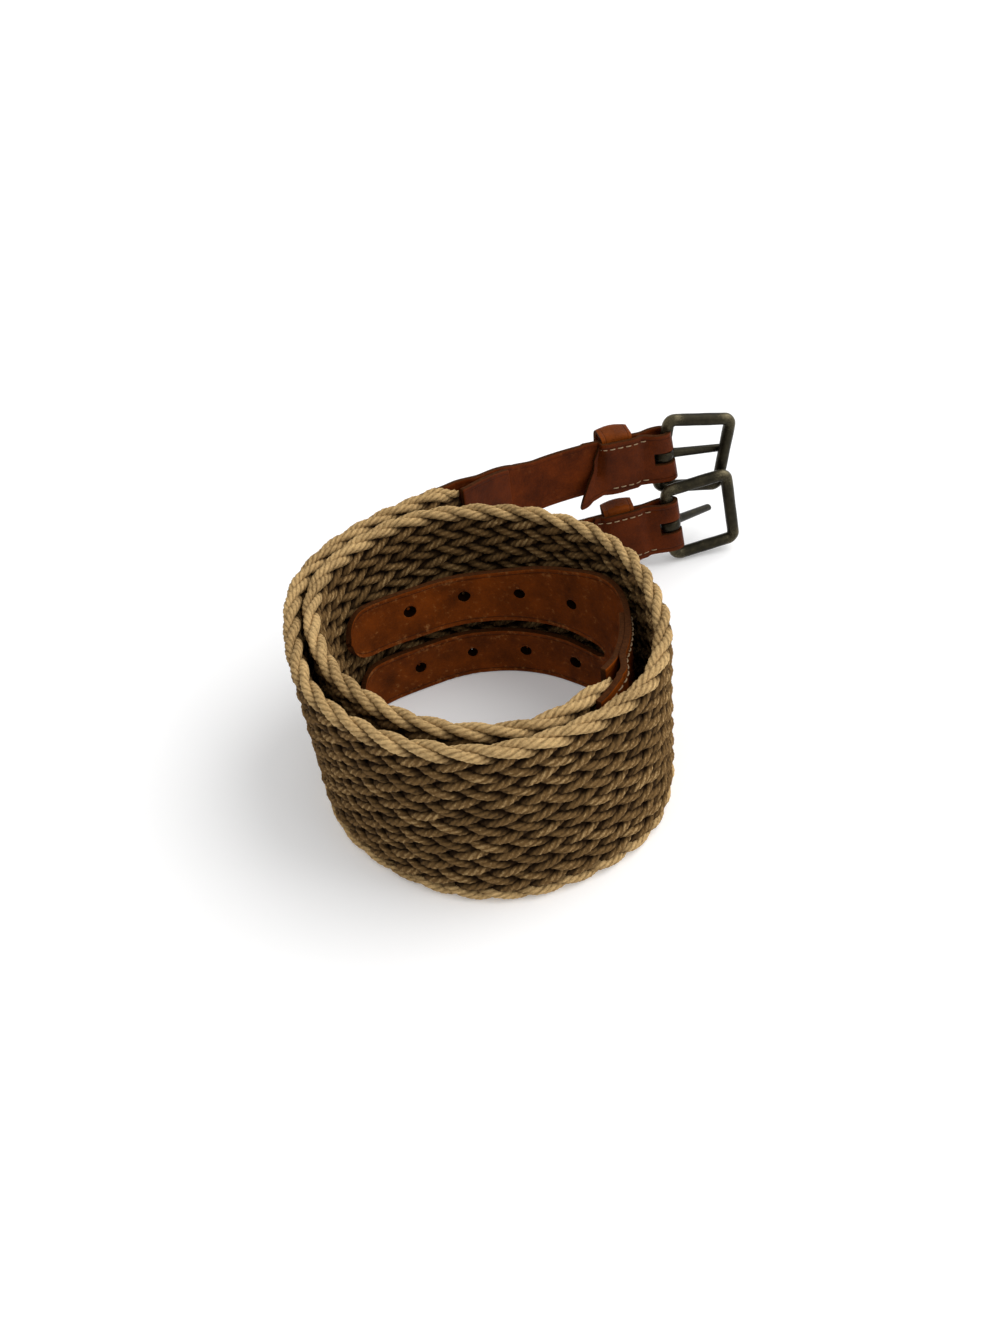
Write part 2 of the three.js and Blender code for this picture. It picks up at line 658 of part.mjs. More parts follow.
function frameGeometry(place) {
  const half = FRAME_HEIGHT / 2;
  const r = CORNER_RADIUS;
  const corners = [
    { x: FRAME_LENGTH - r, z: half - r, from: 0 },
    { x: r, z: half - r, from: 90 },
    { x: r, z: -half + r, from: 180 },
    { x: FRAME_LENGTH - r, z: -half + r, from: 270 },
  ];
  const rings = corners.flatMap((corner) => range(corner.from, corner.from + 90, 4).map((angle) => {
    const away = new THREE.Vector2(Math.cos(rad(angle)), Math.sin(rad(angle)));
    return range(0, 315, 7).map((turn) => {
      const reach = r + BAR_RADIUS * Math.cos(rad(turn));
      const across = BAR_RADIUS * Math.sin(rad(turn));
      return pointAt(place, corner.x + away.x * reach, across, corner.z + away.y * reach);
    });
  }));
  return loft(rings, true);
}

const LOOP_INNER = BAR_RADIUS + BAR_CLEARANCE;
const LOOP_OUTER = FOLD_HALF - GAP;
const PRONG_LENGTH = FRAME_LENGTH + BAR_RADIUS * 0.4 + PRONG_OVERHANG;
const CLOSED_SWING = THREE.MathUtils.radToDeg(
  Math.asin((BAR_RADIUS + PRONG_RADIUS + GAP) / FRAME_LENGTH),
);

function prongGeometry(frame, swing, droop) {
  const place = turned(frame, 'up', swing);
  const profile = [
    new THREE.Vector2(LOOP_INNER, -PRONG_LOOP_WIDTH / 2),
    new THREE.Vector2(LOOP_OUTER, -PRONG_LOOP_WIDTH / 2),
    new THREE.Vector2(LOOP_OUTER, PRONG_LOOP_WIDTH / 2),
    new THREE.Vector2(LOOP_INNER, PRONG_LOOP_WIDTH / 2),
    new THREE.Vector2(LOOP_INNER, -PRONG_LOOP_WIDTH / 2),
  ];
  const loop = new THREE.LatheGeometry(profile, 16).rotateX(Math.PI / 2).applyMatrix4(matrixOf(place));
  const drop = Math.tan(rad(droop));
  const stations = [
    { along: LOOP_INNER + 0.8, girth: 1.05 }, { along: PRONG_LENGTH * 0.5, girth: 1 },
    { along: PRONG_LENGTH * 0.94, girth: 0.85 }, { along: PRONG_LENGTH, girth: 0.45 },
  ];
  const shaft = loft(stations.map((s) => range(0, 315, 7).map((turn) => pointAt(
    place, s.along,
    PRONG_RADIUS * s.girth * Math.cos(rad(turn)),
    PRONG_RADIUS * s.girth * Math.sin(rad(turn)) - drop * (s.along - LOOP_INNER),
  ))));
  return toGeometry(toSolid(loop).add(toSolid(shaft)));
}

// Materials

const cord = new THREE.MeshStandardMaterial({ color: 0xa58252, roughness: 0.85, metalness: 0 });
const tanLeather = new THREE.MeshStandardMaterial({ color: 0x7a3c17, roughness: 0.55, metalness: 0 });
const darkLeather = new THREE.MeshStandardMaterial({ color: 0x5f2a14, roughness: 0.5, metalness: 0 });
const agedBrass = new THREE.MeshStandardMaterial({ color: 0x4b4431, roughness: 0.4, metalness: 0.9 });

// Assembly

const belt = new THREE.Group();

function addPiece(name, geometry, material) {
  const mesh = new THREE.Mesh(geometry, material);
  mesh.name = name;
  belt.add(mesh);
}

addPiece('braid_band', bandGeometry(), cord);
addPiece('tip_leather', tipLeatherGeometry(), tanLeather);
addPiece('tip_facing', tipFacingGeometry(), tanLeather);
addPiece('buckle_leather', buckleLeatherGeometry(), darkLeather);
addPiece('buckle_facing', yokeGeometry(facingOffset, BUCKLE_FACING_LENGTH, GAP), darkLeather);

const ends = [
  { name: 'upper', strap: upperStrap, pose: UPPER_FRAME_POSE, swing: CLOSED_SWING, droop: 0 },
  {
    name: 'lower', strap: lowerStrap, pose: LOWER_FRAME_POSE,
    swing: LOWER_PRONG_SWING, droop: LOWER_PRONG_DROOP,
  },
];
for (const end of ends) {
  const frame = framePlace(end.strap.hinge, end.pose);
  addPiece(`${end.name}_keeper`, keeperGeometry(end.strap.bar), tanLeather);
  addPiece(`${end.name}_buckle_frame`, frameGeometry(frame), agedBrass);
  addPiece(`${end.name}_prong`, prongGeometry(frame, end.swing, end.droop), agedBrass);
}

const box = new THREE.Box3().setFromObject(belt);
const middle = box.getCenter(new THREE.Vector3());
belt.position.set(-middle.x, -middle.y, -box.min.z);
belt.updateMatrixWorld(true);

export default belt;
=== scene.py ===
"""Braided belt, rolled up and standing on its edge: cords, leather ends, keepers and small buckles."""

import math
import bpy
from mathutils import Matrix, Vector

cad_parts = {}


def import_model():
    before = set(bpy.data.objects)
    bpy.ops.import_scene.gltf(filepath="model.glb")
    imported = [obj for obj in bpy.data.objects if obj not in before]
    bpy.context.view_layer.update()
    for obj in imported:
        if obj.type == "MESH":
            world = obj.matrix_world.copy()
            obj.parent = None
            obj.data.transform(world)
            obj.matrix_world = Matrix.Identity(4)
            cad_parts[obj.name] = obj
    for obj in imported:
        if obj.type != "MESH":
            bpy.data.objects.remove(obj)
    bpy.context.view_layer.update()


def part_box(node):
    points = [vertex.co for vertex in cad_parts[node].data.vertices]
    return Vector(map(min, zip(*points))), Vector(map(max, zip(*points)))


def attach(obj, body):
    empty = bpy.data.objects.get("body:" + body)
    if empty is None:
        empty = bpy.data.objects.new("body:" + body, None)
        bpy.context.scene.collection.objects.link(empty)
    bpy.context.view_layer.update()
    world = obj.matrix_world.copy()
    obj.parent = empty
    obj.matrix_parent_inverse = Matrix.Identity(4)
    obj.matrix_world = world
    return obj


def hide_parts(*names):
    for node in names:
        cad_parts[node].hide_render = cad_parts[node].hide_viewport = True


bl_info = {
    "name": "Braided Belt",
    "version": (1, 0, 0),
    "blender": (4, 5, 0),
    "location": "View3D > Sidebar > Belt",
    "description": "Builds a rolled braided belt with leather ends and two small buckles",
    "category": "Add Mesh",
}

import bmesh
import bpy
import numpy as np
from bpy.props import FloatProperty, FloatVectorProperty, IntProperty, PointerProperty
from mathutils import Matrix, Quaternion, Vector

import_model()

MM = 0.001
UP = Vector((0.0, 0.0, 1.0))

# The roll is laid out in millimetres about its own middle. Angles are in degrees. The other columns
# of the tables are shares of the named sizes, as in the CAD source.

COIL_RADIUS = 70.0
LAYER_SLACK = 5.4
BAND_WIDTH = 75.0
BAND_THICKNESS = 7.0
LEATHER = 2.2
STRAP_LEATHER = 2.0
GAP = 0.3
YOKE_INSET = 1.6
LAP = 14.0
FLOOR_CLEARANCE = 0.2
TIP_END_RADIUS = 11.6
TIP_SLIT = 4.2
TIP_STANDOFF = 14.0
TIP_FACING_LENGTH = 44.0
HOLE_SPACING = 23.8
HOLE_COUNT = 4
LAST_HOLE_TO_TIP = 30.0
BUCKLE_YOKE_LENGTH = 32.0
BUCKLE_FACING_LENGTH = 27.0
BUCKLE_STRAP_RUN = 73.0
BUCKLE_STRAP_WIDTH = 25.2
FOLD_WIDTH = 24.0
UPPER_STRAP_HEIGHT = 51.6
LOWER_STRAP_HEIGHT = 13.9
BAR_CLEARANCE = 0.4
PRONG_OVERHANG = 1.0
UPPER_HOLES = 0.565
LOWER_HOLES = 0.16
TIP_CROTCH_ANGLE = 25.0

OUTER_TURN = (  # angle, reach
    (90, 1.323), (94, 1.27), (98, 1.229), (103, 1.193), (110, 1.166), (124, 1.127), (142, 1.081),
    (161, 1.004), (172, 0.951), (187, 0.918), (202, 0.917), (229, 0.93), (252, 0.976),
    (271, 1.018), (292, 1.03), (313, 1.05), (322, 1.043), (332, 1.013), (342, 0.989),
    (354, 0.949), (370, 0.934), (386, 0.937), (416, 0.959), (446, 0.996), (458, 1.03),
)
INNER_TURN = (  # angle, slack
    (458, 1.05), (469, 0.42), (480, 0.26), (493, 0.16), (505, 0.1), (530, 0.14), (543, 0.25),
    (560, 0.56), (577, 0.75), (604, 0.72), (628, 0.52), (646, 0.11), (656, 0.31), (665, 0.72),
    (677, 1),
)
TIP_ROUTE = (  # angle, lead, stand
    (-43, 1, 0), (-38, 0.85, 0.12), (-33, 0.7, 0.22), (-25, 0.45, 0.36), (-15, 0.2, 0.4),
    (-3, 0, 0.34), (7, 0, 0.2), (16, 0, 0.1), (24, 0, 0.11), (32, 0, 0.3), (40, 0, 0.46),
    (53, 0, 0.56), (63, 0, 0.66), (78, 0, 0.76), (92, 0, 0.91), (107, 0, 1.03), (117, 0, 0.9),
    (127, 0, 0.64), (136, 0, 0.33), (142, 0, 0.14), (147, 0, 0.05),
)
TIP_EDGE = (  # angle, top, slit
    (-43, 0.96, 0.3), (-13, 0.88, 0.3), (0, 0.85, 0.3), (12, 0.83, 0.3), (28, 0.825, 0.31),
    (44, 0.785, 0.34), (60, 0.745, 0.34), (75, 0.71, 0.34), (90, 0.7, 0.34),
)
BUCKLE_YOKE_ROUTE = (  # part, heading, rise, lean
    (0, 34, 0, 0), (0.3, 37, 0, 0), (0.6, 38, 0, 0), (1, 31, 0, 0),
)
UPPER_STRAP_ROUTE = (
    (0, 31, 0, 0), (0.14, 23, 1, 0), (0.3, 15, 1.5, 0), (0.45, 11, 1.5, 0), (0.58, 10, 0, 1),
    (0.62, 10, -1.5, 1),
)
LOWER_STRAP_ROUTE = (
    (0, 31, 0, 0), (0.14, 16, 1, 2), (0.3, 5, 3, 4), (0.45, 1.5, 5, 6), (0.58, 1.5, 6, 8),
    (0.62, 1.5, 6, 8),
)
BUCKLE_YOKE_EDGE = (  # part, top, bottom
    (0, 0.03, 0), (0.35, 0.04, 0), (0.7, 0.06, -0.01), (1.05, 0.1, -0.015),
)
UPPER_POSE = {"skew": -9.0, "swing": -3.0}
LOWER_POSE = {"skew": 0.0, "swing": 6.0}
LOWER_PRONG_SWING = 36.0
LOWER_PRONG_DROOP = 14.0

COIL_START = OUTER_TURN[0][0]
COIL_END = INNER_TURN[-1][0]

ANGLE_STEP = 0.5
TIP_SOFTENING = (-8, -4, 0, 4, 8)
TIP_LINE_STEPS = 94
BUCKLE_LINE_STEP = 2
BAND_BOX_STEPS = 600


def look_up(rows, at, column):
    """A smooth curve through one column of a table whose first column is at."""
    if at <= rows[0][0]:
        return rows[0][column]
    if at >= rows[-1][0]:
        return rows[-1][column]
    i = next(n for n, row in enumerate(rows) if row[0] >= at)
    a, b = rows[i - 1], rows[i]
    before = rows[i - 2] if i >= 2 else a
    after = rows[i + 1] if i + 1 < len(rows) else b
    span = b[0] - a[0]
    t = (at - a[0]) / span
    slope_a = (b[column] - before[column]) / max(b[0] - before[0], span)
    slope_b = (after[column] - a[column]) / max(after[0] - a[0], span)
    t2, t3 = t * t, t ** 3
    return ((2 * t3 - 3 * t2 + 1) * a[column] + (t3 - 2 * t2 + t) * span * slope_a
            + (3 * t2 - 2 * t3) * b[column] + (t3 - t2) * span * slope_b)


def spread(low, high, count):
    """count + 1 even steps from low to high."""
    return [low + (high - low) * i / count for i in range(count + 1)]


def mix(a, b, t):
    """The value a share t of the way from a to b."""
    return a + (b - a) * t


def smooth(x, low, high):
    """0 below low and 1 above high, with a soft rise between."""
    t = min(max((x - low) / (high - low), 0.0), 1.0)
    return t * t * (3 - 2 * t)


class Place:
    """A spot on the belt with unit vectors forward along it, up across it and outward through it."""

    def __init__(self, position, forward, up, outward):
        self.position, self.forward, self.up, self.outward = position, forward, up, outward

    @classmethod
    def heading(cls, position, degrees, rise=0.0, lean=0.0):
        """A place that looks along a compass heading, rising and leaning by the given angles."""
        a, b = math.radians(degrees), math.radians(lean)
        level = Vector((math.cos(a), math.sin(a), 0.0))
        side = Vector((-level.y, level.x, 0.0))
        outward = side * math.cos(b) - UP * math.sin(b)
        up = UP * math.cos(b) + side * math.sin(b)
        return cls(position.copy(), level, up, outward).turned("outward", -rise)

    def turned(self, about, degrees):
        """The same spot, turned about one of its own directions."""
        turn = Quaternion(getattr(self, about), math.radians(degrees))
        return Place(self.position.copy(), turn @ self.forward, turn @ self.up, turn @ self.outward)

    def at(self, forward, outward, up):
        """The point at three distances from this place, along its own directions."""
        return self.position + self.forward * forward + self.outward * outward + self.up * up

    def moved(self, forward, outward, up):
        return Place(self.at(forward, outward, up), self.forward, self.up, self.outward)


def coil_radius(angle):
    """How far the braid's middle lies from the roll's middle."""
    if angle <= INNER_TURN[0][0]:
        return COIL_RADIUS * look_up(OUTER_TURN, angle, 1)
    return coil_radius(angle - 360) - BAND_THICKNESS - LAYER_SLACK * look_up(INNER_TURN, angle, 1)


def polar(angle, radius):
    a = math.radians(angle)
    return Vector((radius * math.cos(a), radius * math.sin(a), 0.0))


def heading_of(run):
    return math.degrees(math.atan2(run.y, run.x))


def coil_place(angle):
    """The place on the braid's middle line at an angle."""
    ahead = polar(angle - ANGLE_STEP, coil_radius(max(angle - ANGLE_STEP, COIL_START)))
    behind = polar(angle + ANGLE_STEP, coil_radius(min(angle + ANGLE_STEP, COIL_END)))
    return Place.heading(polar(angle, coil_radius(angle)), heading_of(ahead - behind))


def tip_radius(angle):
    """The tip straps bend more gently than the turn outside them."""
    return sum(tip_radius_at(angle + step) for step in TIP_SOFTENING) / len(TIP_SOFTENING)


def tip_radius_at(angle):
    """The straps' distance from the roll's middle, measured inward from the turn round them."""
    end_space = (coil_radius(TIP_ROUTE[0][0] + 360) - BAND_THICKNESS / 2
                 - coil_radius(COIL_END) - LEATHER / 2)
    free = end_space * look_up(TIP_ROUTE, angle, 1) + TIP_STANDOFF * look_up(TIP_ROUTE, angle, 2)
    return coil_radius(angle + 360) - BAND_THICKNESS / 2 - LEATHER / 2 - free


def tip_place(angle):
    """The place on the tip straps' middle line at an angle."""
    run = (polar(angle - ANGLE_STEP, tip_radius(angle - ANGLE_STEP))
           - polar(angle + ANGLE_STEP, tip_radius(angle + ANGLE_STEP)))
    return Place.heading(polar(angle, tip_radius(angle)), heading_of(run))


class TipLine:
    """The tip straps' middle line, read by the distance past the braid's end."""

    def __init__(self):
        self.angles = spread(TIP_ROUTE[0][0], TIP_ROUTE[-1][0], TIP_LINE_STEPS)
        self.pasts = [0.0]
        last = tip_place(self.angles[0]).position
        for angle in self.angles[1:]:
            here = tip_place(angle).position
            self.pasts.append(self.pasts[-1] + (here - last).length)
            last = here
        self.length = self.pasts[-1]
        self.crotch = next(p for a, p in zip(self.angles, self.pasts) if a >= TIP_CROTCH_ANGLE)

    def angle(self, past):
        return float(np.interp(past, self.pasts, self.angles))

    def place(self, past):
        if past < 0:
            degrees = math.degrees(-past / coil_radius(COIL_END))
            return coil_place(COIL_END - degrees)
        return tip_place(self.angle(past))


class Walk:
    """A stretch of the buckle end, stepped along a table of headings."""

    def __init__(self, rows, length, start, height):
        count = math.ceil(length / BUCKLE_LINE_STEP)
        self.step = length / count
        position = Vector((start.x, start.y, height))
        self.places = []
        for i in range(count + 1):
            part = i / count
            place = Place.heading(position, *(look_up(rows, part, c) for c in (1, 2, 3)))
            self.places.append(place)
            position = position + place.forward * self.step

    def place(self, past):
        t = min(max(past / self.step, 0.0), len(self.places) - 1.001)
        i = int(t)
        a, b, f = self.places[i], self.places[i + 1], t - int(t)
        return Place(a.position.lerp(b.position, f), a.forward.lerp(b.forward, f).normalized(),
                     a.up.lerp(b.up, f).normalized(), a.outward.lerp(b.outward, f).normalized())


TIP = TipLine()
BRAID_END = coil_place(COIL_START)
YOKE = Walk(BUCKLE_YOKE_ROUTE, BUCKLE_YOKE_LENGTH, BRAID_END.position, 0.0)
YOKE_END = YOKE.places[-1]
UPPER_STRAP = Walk(UPPER_STRAP_ROUTE, BUCKLE_STRAP_RUN, YOKE_END.position, UPPER_STRAP_HEIGHT)
LOWER_STRAP = Walk(LOWER_STRAP_ROUTE, BUCKLE_STRAP_RUN, YOKE_END.position, LOWER_STRAP_HEIGHT)
YOKE_TOP = BAND_WIDTH - YOKE_INSET
YOKE_HEIGHT = BAND_WIDTH - 2 * YOKE_INSET
LAP_OFFSET = BAND_THICKNESS / 2 + GAP + LEATHER / 2


def roll_shift():
    """From the roll's own middle to the frame's origin, in metres, read off the band's box."""
    low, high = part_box("braid_band")
    xs, ys = [], []
    for angle in spread(COIL_START, COIL_END, BAND_BOX_STEPS):
        place = coil_place(angle)
        for side in (-1, 1):
            point = place.at(0, side * BAND_THICKNESS / 2, 0)
            xs.append(point.x)
            ys.append(point.y)
    return Vector(((low[0] + high[0]) / 2 - MM * (min(xs) + max(xs)) / 2,
                   (low[1] + high[1]) / 2 - MM * (min(ys) + max(ys)) / 2, low[2]))


SHIFT = roll_shift()


def world(point):
    return SHIFT + point * MM


# Mesh makers

BEVEL_ANGLE = math.radians(50)
GRAIN_SLOT, FLESH_SLOT, RIM_SLOT, HOLE_SLOT = range(4)


def make_object(name, vertices, faces, body, material, replaces=()):
    """A smooth mesh that rides a body of the frame and takes the place of CAD nodes."""
    mesh = bpy.data.meshes.new(name)
    mesh.from_pydata(vertices, [], faces)
    mesh.update()
    piece = bpy.data.objects.new(name, mesh)
    bpy.context.scene.collection.objects.link(piece)
    for item in material if isinstance(material, (list, tuple)) else [material]:
        mesh.materials.append(item)
    mesh.polygons.foreach_set("use_smooth", [True] * len(mesh.polygons))
    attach(piece, body)
    if replaces:
        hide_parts(*replaces)
    face_outward(mesh)
    return piece


def apply_modifiers(piece):
    """Turns the piece's modifiers into plain mesh."""
    graph = bpy.context.evaluated_depsgraph_get()
    done = bpy.data.meshes.new_from_object(piece.evaluated_get(graph), depsgraph=graph)
    done.name = piece.data.name
    piece.modifiers.clear()
    piece.data = done
    face_outward(done)


def face_outward(mesh):
    """Turns every face of closed solids to look outward."""
    work = bmesh.new()
    work.from_mesh(mesh)
    bmesh.ops.recalc_face_normals(work, faces=work.faces)
    work.to_mesh(mesh)
    work.free()


def add_attribute(mesh, name, values):
    """Stores one number a vertex for the materials to read."""
    layer = mesh.attributes.new(name, "FLOAT", "POINT")
    layer.data.foreach_set("value", np.asarray(values, np.float32))


def thicken(piece, thickness, bevel, segments=2):
    """Gives a sheet its thickness and rounded edges, in millimetres, as plain mesh."""
    solid = piece.modifiers.new("thickness", "SOLIDIFY")
    solid.thickness = thickness * MM
    solid.offset = 0.0
    solid.material_offset = FLESH_SLOT - GRAIN_SLOT
    solid.material_offset_rim = RIM_SLOT - GRAIN_SLOT
    rounding = piece.modifiers.new("edges", "BEVEL")
    rounding.width = bevel * MM
    rounding.segments = segments
    rounding.limit_method = "ANGLE"
    rounding.angle_limit = BEVEL_ANGLE
    apply_modifiers(piece)


def tube_faces(rings, size, closed=False, base=0):
    """The faces of a tube made of rings of vertices: a closed loop, or capped at both ends."""
    faces = []
    for i in range(rings if closed else rings - 1):
        here, there = base + i * size, base + ((i + 1) % rings) * size
        for j in range(size):
            k = (j + 1) % size
            faces.append((here + j, here + k, there + k, there + j))
    if not closed:
        faces.append(tuple(base + j for j in reversed(range(size))))
        faces.append(tuple(base + (rings - 1) * size + j for j in range(size)))
    return faces


SHEET_BEVEL = 0.35


class Sheet:
    """A leather sheet: a grid of stations along it and columns across it, then given thickness.

    The point function gives each spot and its distance from the nearer edge, and skip says which
    faces are left out.
    """

    def __init__(self, stations, columns, point, skip=None):
        self.vertices, self.edge, self.faces = [], [], []
        wide = len(columns)
        for station in stations:
            for column in columns:
                spot, rim = point(station, column)
                self.vertices.append(world(spot))
                self.edge.append(rim)
        for i in range(len(stations) - 1):
            for j in range(wide - 1):
                if skip and skip(stations[i], stations[i + 1], columns[j], columns[j + 1]):
                    continue
                a = i * wide + j
                self.faces.append((a, a + 1, a + wide + 1, a + wide))

    def build(self, name, materials, thickness, node):
        """Makes the object and gives it its thickness."""
        piece = make_object(name, self.vertices, self.faces, "belt", materials, [node])
        add_attribute(piece.data, "edge", self.edge)
        thicken(piece, thickness, SHEET_BEVEL)
        return piece


# Materials


class Shader:
    """A small helper that adds and links nodes."""

    def __init__(self, name):
        self.material = bpy.data.materials.new(name)
        self.material.use_nodes = True
        self.tree = self.material.node_tree
        self.surface = next(n for n in self.tree.nodes if n.type == "BSDF_PRINCIPLED")

    def add(self, kind, inputs=None, **settings):
        node = self.tree.nodes.new(kind)
        for key, value in settings.items():
            setattr(node, key, value)
        for key, value in (inputs or {}).items():
            if isinstance(value, bpy.types.NodeSocket):
                self.tree.links.new(value, node.inputs[key])
            else:
                node.inputs[key].default_value = value
        return node

    def math(self, operation, a, b=0.0, c=0.0, clamp=False):
        node = self.tree.nodes.new("ShaderNodeMath")
        node.operation = operation
        node.use_clamp = clamp
        for slot, value in zip(node.inputs, (a, b, c)):
            if isinstance(value, bpy.types.NodeSocket):
                self.tree.links.new(value, slot)
            else:
                slot.default_value = value
        return node.outputs[0]

    def ramp(self, factor, stops):
        node = self.tree.nodes.new("ShaderNodeValToRGB")
        elements = node.color_ramp.elements
        while len(elements) < len(stops):
            elements.new(0.5)
        for element, (position, colour) in zip(elements, stops):
            element.position = position
            element.color = (*colour, 1.0)
        self.tree.links.new(factor, node.inputs[0])
        return node.outputs[0]

    def blend(self, factor, a, b, mode="MIX"):
        node = self.tree.nodes.new("ShaderNodeMix")
        node.data_type = "RGBA"
        node.blend_type = mode
        for key, value in (("Factor", factor), ("A", a), ("B", b)):
            slot = next(s for s in node.inputs if s.name == key
                        and s.type == ("VALUE" if key == "Factor" else "RGBA"))
            if isinstance(value, bpy.types.NodeSocket):
                self.tree.links.new(value, slot)
            else:
                slot.default_value = value if key == "Factor" else (*value, 1.0)
        return next(s for s in node.outputs if s.type == "RGBA")

    def attribute(self, name):
        return self.add("ShaderNodeAttribute", attribute_name=name).outputs["Fac"]

    def noise(self, vector, scale, detail=3.0, roughness=0.55):
        return self.add("ShaderNodeTexNoise", {
            "Vector": vector, "Scale": scale, "Detail": detail, "Roughness": roughness,
        }).outputs["Fac"]

    def position(self, scale=(1000.0, 1000.0, 1000.0)):
        place = self.add("ShaderNodeTexCoord").outputs["Object"]
        return self.add("ShaderNodeMapping", {"Vector": place, "Scale": scale}).outputs["Vector"]

    def bump(self, height, strength, distance):
        node = self.add("ShaderNodeBump", {
            "Height": height, "Strength": strength, "Distance": distance,
        })
        self.tree.links.new(node.outputs["Normal"], self.surface.inputs["Normal"])

    def finish(self, colour, roughness, **plain):
        for key, value in (("Base Color", colour), ("Roughness", roughness)):
            slot = self.surface.inputs[key]
            if isinstance(value, bpy.types.NodeSocket):
                self.tree.links.new(value, slot)
            else:
                slot.default_value = value
        for key, value in plain.items():
            self.surface.inputs[key.replace("_", " ")].default_value = value
        return self.material


def shade_of(colour, factor):
    return tuple(c * factor for c in colour)


def cord_material():
    """Twisted fibre, with painted shade in the braid's gaps and in the grooves between yarns, painted light
    where cords stand out, and a golden painted highlight near both rims.
    """
    colours = bpy.context.scene.belt_colours
    s = Shader("twisted_cord")
    light, mid, dark = (tuple(getattr(colours, n)) for n in ("cord_light", "cord_mid", "cord_painted_shade"))
    uv = s.add("ShaderNodeUVMap", uv_map="cord").outputs["UV"]
    fibre = s.noise(s.add("ShaderNodeMapping", {"Vector": uv, "Scale": (0.45, 4.0, 1.0)})
                    .outputs["Vector"], 1.0, 5.0, 0.7)
    fluff = s.noise(s.position(), 1.1, 4.0, 0.7)
    blotch = s.noise(s.position(), 0.06, 3.0)
    relief, tone, rim, depth = (s.attribute(n) for n in ("relief", "tone", "rim", "depth"))
    # standing is how far a point stands out of the band. It paints light on raised cords and, through gap
    # below, paints shade on low ones.
    standing = s.add("ShaderNodeMapRange", {"Value": depth, "From Min": 0.26, "From Max": 0.9},
                     interpolation_type="SMOOTHSTEP").outputs["Result"]
    # relief lightens the yarns' crowns and darkens the grooves between them: painted shade in the grooves.
    level = s.math("MULTIPLY_ADD", fibre, 0.9, s.math("MULTIPLY_ADD", relief, 0.34, -0.65))
    level = s.math("ADD", level, s.math("MULTIPLY_ADD", fluff, 0.9, -0.45))
    level = s.math("ADD", level, s.math("MULTIPLY_ADD", tone, 0.2, -0.1))
    level = s.math("ADD", level, s.math("MULTIPLY_ADD", blotch, 0.5, -0.25))
    level = s.math("MULTIPLY_ADD", standing, 0.5, level, clamp=True)
    face = s.ramp(level, ((0.05, shade_of(mid, 0.3)), (0.35, shade_of(mid, 0.75)), (0.58, mid),
                          (0.9, mix_colour(mid, light, 0.55))))
    # edge is a lighter, golden copy of the face colours: a painted highlight near the rims.
    edge = s.ramp(level, ((0.05, shade_of(mid, 0.6)), (0.45, mix_colour(mid, light, 0.4)),
                          (0.9, light)))
    colour = s.blend(rim, face, edge)
    # Painted shade: points low in the braid's gaps are turned towards the dark cord colour.
    gap = s.math("SUBTRACT", 1.0, standing)
    colour = s.blend(s.math("MULTIPLY", gap, 0.97), colour, dark)
    s.bump(s.math("ADD", fibre, s.math("MULTIPLY", fluff, 0.6)), 0.9, 0.0006)
    return s.finish(colour, 0.88, Specular_IOR_Level=0.08)


def mix_colour(a, b, t):
    return tuple(mix(x, y, t) for x, y in zip(a, b))


CREASE_FROM_EDGE = 1.9
FLECK = (0.42, 0.19, 0.06)


def leather_material(name, base, deep, rough, crease, fleck=0.0):
    """Leather whose surface has pores, soft blotches, an edge crease, and flecks on a flesh side."""
    s = Shader(name)
    where = s.position()
    blotch = s.noise(where, 0.09, 4.0, 0.6)
    pores = s.add("ShaderNodeTexVoronoi", {"Vector": where, "Scale": 1.5}).outputs["Distance"]
    fine = s.noise(where, 1.1, 5.0, 0.65)
    rim = s.attribute("edge")
    line = s.math("ABSOLUTE", s.math("SUBTRACT", rim, CREASE_FROM_EDGE))
    groove = s.math("SUBTRACT", 1.0, s.math("MULTIPLY", line, 2.4, clamp=True), clamp=True)
    # Lighter towards the cut edges.
    edge_lightening = s.math("SUBTRACT", 1.0, s.math("MULTIPLY", rim, 0.8, clamp=True), clamp=True)
    level = s.math("MULTIPLY_ADD", blotch, 1.15, s.math("MULTIPLY_ADD", fine, 0.55, -0.42), clamp=True)
    colour = s.ramp(level, ((0.15, deep), (0.62, base), (0.95, shade_of(base, 1.32))))
    colour = s.blend(s.math("MULTIPLY", groove, crease * 0.7), colour, shade_of(deep, 0.45))
    colour = s.blend(s.math("MULTIPLY", edge_lightening, 0.35), colour, shade_of(base, 1.35))
    if fleck:
        spots = s.noise(where, 0.36, 7.0, 0.78)
        near_edge = s.math("SUBTRACT", 1.0, s.math("MULTIPLY", rim, 0.16, clamp=True), clamp=True)
        spots = s.math("MULTIPLY_ADD", near_edge, 0.07, spots)
        mask = s.math("MULTIPLY", s.math("SUBTRACT", spots, 0.585, clamp=True), 5.0, clamp=True)
        colour = s.blend(s.math("MULTIPLY", mask, fleck), colour, FLECK)
    height = s.math("MULTIPLY_ADD", pores, 0.35, s.math("MULTIPLY", fine, 0.8))
    height = s.math("SUBTRACT", height, s.math("MULTIPLY", groove, crease * 1.6))
    s.bump(height, 0.5, 0.00035)
    shine = s.math("MULTIPLY_ADD", fine, 0.25, rough - 0.12)
    return s.finish(colour, shine, Specular_IOR_Level=0.06)


def edge_material(name="cut_leather_edge", lightness=1.0):
    """The rough fibres of a cut edge."""
    s = Shader(name)
    fibre = s.noise(s.position((1000.0, 1000.0, 2600.0)), 0.8, 5.0, 0.7)
    base = shade_of(tuple(bpy.context.scene.belt_colours.leather_edge), lightness)
    colour = s.ramp(fibre, ((0.3, shade_of(base, 0.45)), (0.55, base), (0.8, shade_of(base, 1.5))))
    s.bump(fibre, 0.6, 0.0003)
    return s.finish(colour, 0.85, Specular_IOR_Level=0.05 * lightness)


